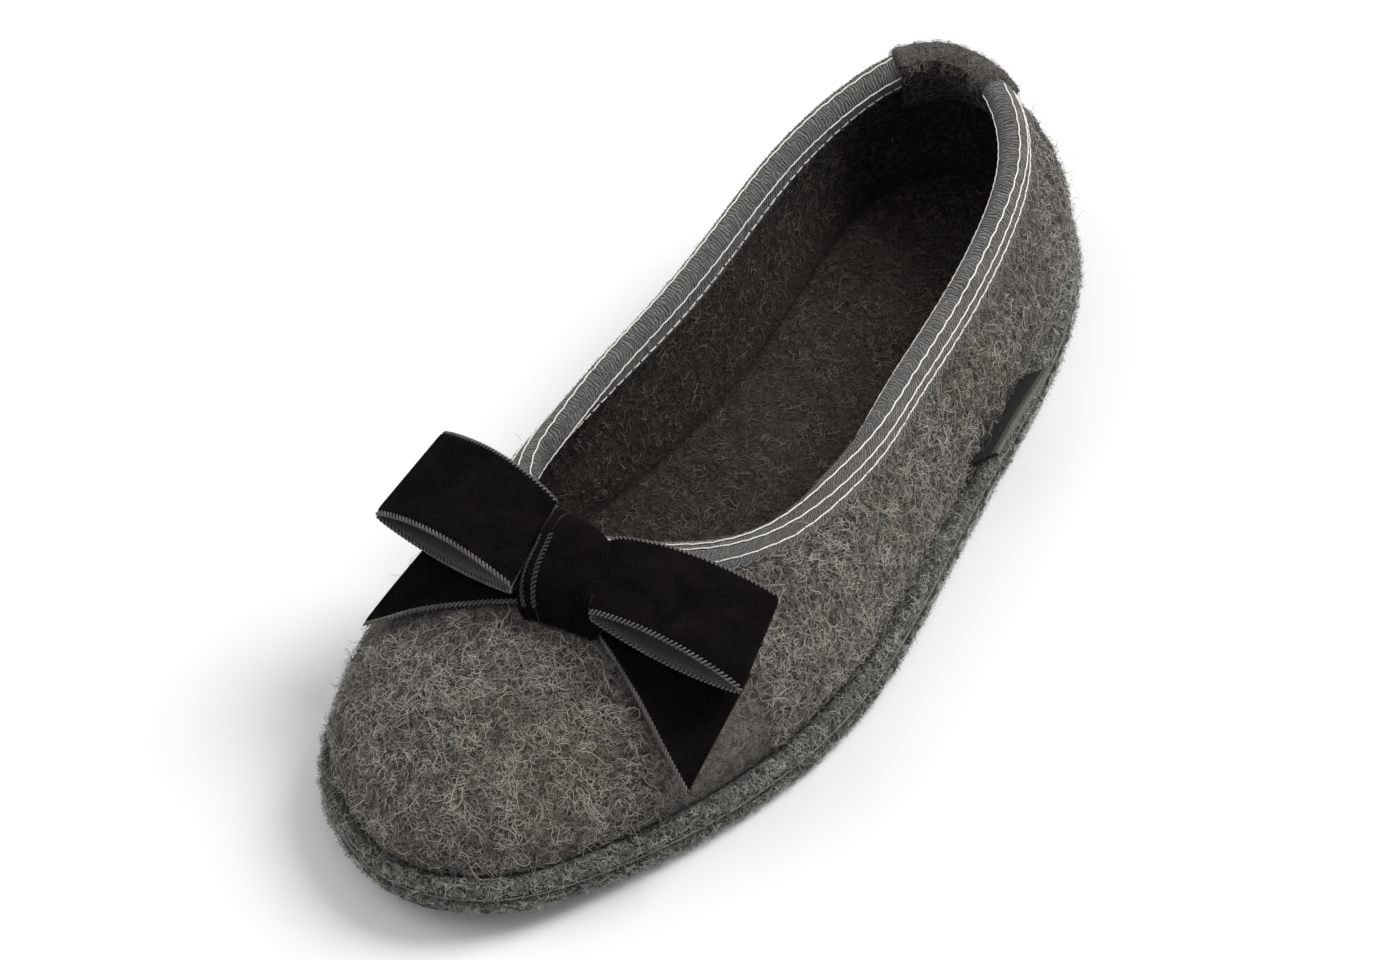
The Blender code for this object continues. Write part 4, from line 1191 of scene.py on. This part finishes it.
def twisted(path, normal, inward, pitch=0.0021, reach=0.00034):
    """Two threads twisted round each other along a path."""
    walked = np.concatenate([[0], np.cumsum(np.linalg.norm(np.diff(path, axis=0), axis=1))])
    count = max(int(walked[-1] / pitch * 8), 12)
    s = np.linspace(0, walked[-1], count)

    def along(values):
        return np.column_stack([np.interp(s, walked, values[:, k]) for k in range(3)])

    line, over, side = along(path), unit(along(normal)), unit(along(inward))
    strands = []
    for phase in (0.0, math.pi):
        angle = 2 * math.pi * s / pitch + phase
        aside = 0.00012 + reach * 1.35 * np.cos(angle)
        strands.append(line + side * aside[:, None] + over * (reach * np.sin(angle))[:, None])
    return np.array(strands), np.array([over, over])


# The last two edges noted are the knot's, drawn in a darker copy of the picot thread: painted shade on the
# knot
groups = [twisted(*edge) for edge in selvedges]
add_tubes("ribbon_selvedges", groups[:-2], 0.00027, 5, PICOT)
add_tubes("knot_selvedges", groups[-2:], 0.00030, 5, SHADED_PICOT)

# Side tag
TAG_STATIONS = 60
fine = np.linspace(0, HEEL_SECTION, 2001)
half = 0.5 * TAG_LENGTH / LENGTH
tag_at = np.interp(np.linspace(TAG_PLACE - half, TAG_PLACE + half, TAG_STATIONS), ring("along", fine), fine)
points, tag_normals, tag_up = wall_frame(tag_at, [TAG_LIFT])
tilt = math.radians(TAG_TILT)
reach = tag_normals[0] * math.cos(tilt) + tag_up[0] * math.sin(tilt)
side = tag_up[0] * math.cos(tilt) - tag_normals[0] * math.sin(tilt)
base_line = points[0] + tag_normals[0] * (GAP + 0.5 * TAG_THICK * math.sin(tilt))
profile = [(u, -0.5) for u in np.linspace(0, 0.93, 12)]
profile += [(0.93 + 0.07 * math.sin(a), -0.5 * math.cos(a)) for a in np.radians((30, 60, 90, 120, 150))]
profile += [(u, 0.5) for u in np.linspace(0.93, 0, 12)]
rows = []
for u, v in profile:
    bend = 0.0007 * math.sin(0.5 * math.pi * u) * np.sin(np.linspace(0.3, 2.6, TAG_STATIONS))
    hollow = 1 - 0.45 * math.sin(math.pi * min(u, 1.0))
    rows.append(base_line + TAG_PROUD * u * reach + (TAG_THICK * v * hollow + bend)[:, None] * side)
tag_grid = np.array(rows).transpose(1, 0, 2)
picks = np.zeros(len(profile), dtype=int)
picks[11:19] = 1
tag = add_grid("plain_tag", tag_grid, [LABEL, LABEL_EDGE], False, True, True, picks[None, :])
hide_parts("side_tag")

# Loose fibres
CLEAR_OF_BOW = 0.0022


def facing_patch(grid, way, round_cols=True):
    """A patch whose normals agree on the whole with way, a function of its points."""
    patch = Patch(grid, 1, round_cols)
    if (patch.normal * way(patch.middle)).sum() < 0:
        patch = Patch(grid, -1, round_cols)
    return patch


def outward_way(points):
    return points * np.array([1.0, 1.0, 0.0])


def inward_way(points):
    return -outward_way(points)


def up_over(height):
    """Upward, for the points above a height."""

    def way(points):
        return (points[:, 2:] > height) * np.array([0.0, 0.0, 1.0])

    return way


felt_patch = facing_patch(felt_face, outward_way)
pairs = below_edge[:-1] + below_edge[1:]
below_middle = 0.25 * (pairs + np.roll(pairs, -1, axis=1)).ravel()
covered =np.concatenate([surface.reshape(-1, 3) for surface in covers])
tree = KDTree(len(covered))
for k, point in enumerate(covered):
    tree.insert((point[0], point[1], 0.0), k)
tree.balance()
open_felt = np.array([tree.find((x, y, 0.0))[2] > CLEAR_OF_BOW for x, y in felt_patch.middle[:, :2]])
bare = smooth(0.006, 0.012, below_middle) * open_felt
toe_share = 1 - smooth(-0.05, 0.08, felt_patch.middle[:, 1])
thickness = bare * (0.55 + 0.45 * toe_share)
tan_weight = bare * smooth(0.1, 0.5, noise(felt_patch.middle, 0.016, 77))


def add_fuzz(name, patch, count, length, turn, lift, steps, width, finish, weight=None, free=0.25):
    points, normals = patch.scatter(count, weight)
    paths, across = curls(points, normals, length, turn, lift, steps, free)
    return add_strips(name, paths, across, width, finish)


# Curls of the upper: name, count, length, turn, lift, steps, width, finish, where they grow, share left loose
WOOL_CURLS = (
    ("light", 11500, 0.0046, (2.0, 7.5), (0.0002, 0.0016), 7, 0.00013, LIGHT_FIBRE, thickness, 0.25),
    ("mid", 8500, 0.0052, (1.0, 6.0), (0.0001, 0.0010), 7, 0.00021, MID_FIBRE, bare, 0.25),
    ("tan", 3000, 0.0050, (1.0, 6.0), (0.0002, 0.0010), 7, 0.00016, TAN_FIBRE, tan_weight, 0.25),
    ("gap_shade", 4000, 0.0040, (1.0, 5.0), (0.0001, 0.0006), 6, 0.00026, DARK_FIBRE, bare, 0.25),
    ("long", 1500, 0.0085, (1.0, 4.0), (0.0008, 0.0030), 9, 0.00013, LIGHT_FIBRE, thickness, 0.5),
)
for tone, count, length, turn, lift, bends, width, finish, weight, free in WOOL_CURLS:
    name = "wool_curls_" + tone
    add_fuzz(name, felt_patch, count, length, turn, lift, bends, width, finish, weight, free)

rand_patch = facing_patch(rand_rings[2:9], outward_way)
add_fuzz(
    "rand_fuzz", rand_patch, 7500, 0.0026, (1.0, 6.0), (0.0002, 0.0011), 5, 0.00015, EDGE_FIBRE
)
at = even_places(700)
side_rings = []
for inset, z in ((0.0002, 0.0042), (0.0, 0.0026), (0.0009, 0.0008)):
    points, _ = outline(at, inset)
    side_rings.append(np.column_stack([points, z + floor_lift(points[:, 1])]))
side_patch = facing_patch(np.array(side_rings), outward_way)
add_fuzz(
    "outsole_fuzz", side_patch, 5500, 0.0024, (1.0, 6.0), (0.0002, 0.0010), 5, 0.00015, EDGE_FIBRE,
)

bed_patch = facing_patch(insole_rings[:, 1:33], up_over(0.0), False)
add_fuzz(
    "footbed_fuzz", bed_patch, 6000, 0.0036, (1.0, 6.0), (0.0001, 0.0006), 5, 0.00016, INSIDE_FIBRE_SHADED,
)
INSOLE_TOP = 0.012
inner_patch = facing_patch(inside, inward_way)
inner_weight = (inner_patch.middle[:, 2] > INSOLE_TOP) * 1.0
add_fuzz(
    "inner_fuzz", inner_patch, 6500, 0.0040, (1.0, 6.0), (0.0001, 0.0009), 6, 0.00016, INSIDE_FIBRE_SHADED,
    inner_weight,
)

tape_patch = facing_patch(tape_grid[:, :TAPE_ACROSS], up_over(0.04), False)
add_fuzz(
    "tape_hairs", tape_patch, 5500, 0.0022, (0.2, 2.0), (0.0001, 0.0004), 4, 0.00010, MID_FIBRE
)
tab_patch = facing_patch(tab_over, up_over(0.05), False)
add_fuzz(
    "tab_fuzz", tab_patch, 1300, 0.0034, (0.5, 5.0), (0.0001, 0.0008), 6, 0.00014, MID_FIBRE
)

# Seam between rand and outsole
at = even_places(RAND_AROUND)
points, outward = outline(np.append(at, at[:1] + AROUND), 0.0004)
z = OUTSOLE_THICK + 0.00015 + floor_lift(points[:, 1])
line = np.column_stack([points, z])
shiver = 0.00012 * noise(line, 0.0015, 91)
outward_3 = np.column_stack([outward, np.zeros(len(points))])
line = line + outward_3 * shiver[:, None]
add_tubes("sole_seam", [(line[None], outward_3[None])], 0.00022, 5, SEAM, False)


# Floor, light and camera
def pale_floor():
    made = Finish("pale_floor", 0.75, Specular_IOR_Level=0.2)
    tone = made.noise(3.0, 2.0, 0.5)
    made.colour(made.mix(tone, (0.86, 0.86, 0.86), (0.89, 0.89, 0.89)))
    made.relief((made.noise(400.0, 2.0, 0.5), 0.05, 0.0002))
    return made.material


corners = np.array([(-4, -4, 0), (4, -4, 0), (4, 4, 0), (-4, 4, 0)], dtype=float)
mesh = bpy.data.meshes.new("floor")
mesh.from_pydata([tuple(c) for c in corners], [], [(0, 1, 2, 3)])
mesh.materials.append(pale_floor())
floor = bpy.data.objects.new("floor", mesh)
bpy.context.scene.collection.objects.link(floor)

world = bpy.data.worlds.new("studio")
bpy.context.scene.world = world
world.use_nodes = True
world.node_tree.nodes["Background"].inputs["Color"].default_value = (1.0, 1.0, 1.0, 1.0)
world.node_tree.nodes["Background"].inputs["Strength"].default_value = 0.55


def add_area(name, place, target, size, power):
    light = bpy.data.lights.new(name, "AREA")
    light.shape = "DISK"
    light.size = size
    light.energy = power
    made = bpy.data.objects.new(name, light)
    made.location = place
    made.rotation_euler = (Vector(target) - Vector(place)).to_track_quat("-Z", "Y").to_euler()
    bpy.context.scene.collection.objects.link(made)


add_area("key_light", (0.60, 0.70, 1.15), (0, 0, 0.02), 0.8, 18.0)
add_area("fill_light", (-0.9, -0.5, 1.1), (0, 0, 0.02), 1.2, 4.0)

# The camera looks from the photograph's angle, with its focal length in pixels of the photograph's width
PHOTO_WIDTH = 1400
FOCAL_PIXELS = 5880.4
SENSOR_WIDTH = 36.0
CAMERA_DISTANCE = 1.3
AZIMUTH, ELEVATION, ROLL = 37.612, 45.475, -8.145
azimuth, elevation, roll = (math.radians(v) for v in (AZIMUTH, ELEVATION, ROLL))
target = np.array([-0.003408, -0.007680, 0.0250])
level = math.cos(elevation)
toward = np.array([level * math.sin(azimuth), -level * math.cos(azimuth), math.sin(elevation)])
right =np.array([math.cos(azimuth), math.sin(azimuth), 0.0])
over = np.cross(toward, right)
right_rolled = math.cos(roll) * right + math.sin(roll) * over
over_rolled = -math.sin(roll) * right + math.cos(roll) * over
place = target + CAMERA_DISTANCE * toward
lens = bpy.data.cameras.new("camera")
lens.sensor_fit = "HORIZONTAL"
lens.sensor_width = SENSOR_WIDTH
lens.lens = FOCAL_PIXELS / PHOTO_WIDTH * SENSOR_WIDTH
lens.clip_start = 0.05
camera = bpy.data.objects.new("camera", lens)
axes = Matrix((right_rolled, over_rolled, toward)).transposed().to_4x4()
camera.matrix_world = Matrix.Translation(Vector(place)) @ axes
bpy.context.scene.collection.objects.link(camera)
bpy.context.scene.camera = camera
bpy.context.scene.view_settings.view_transform = "Standard"
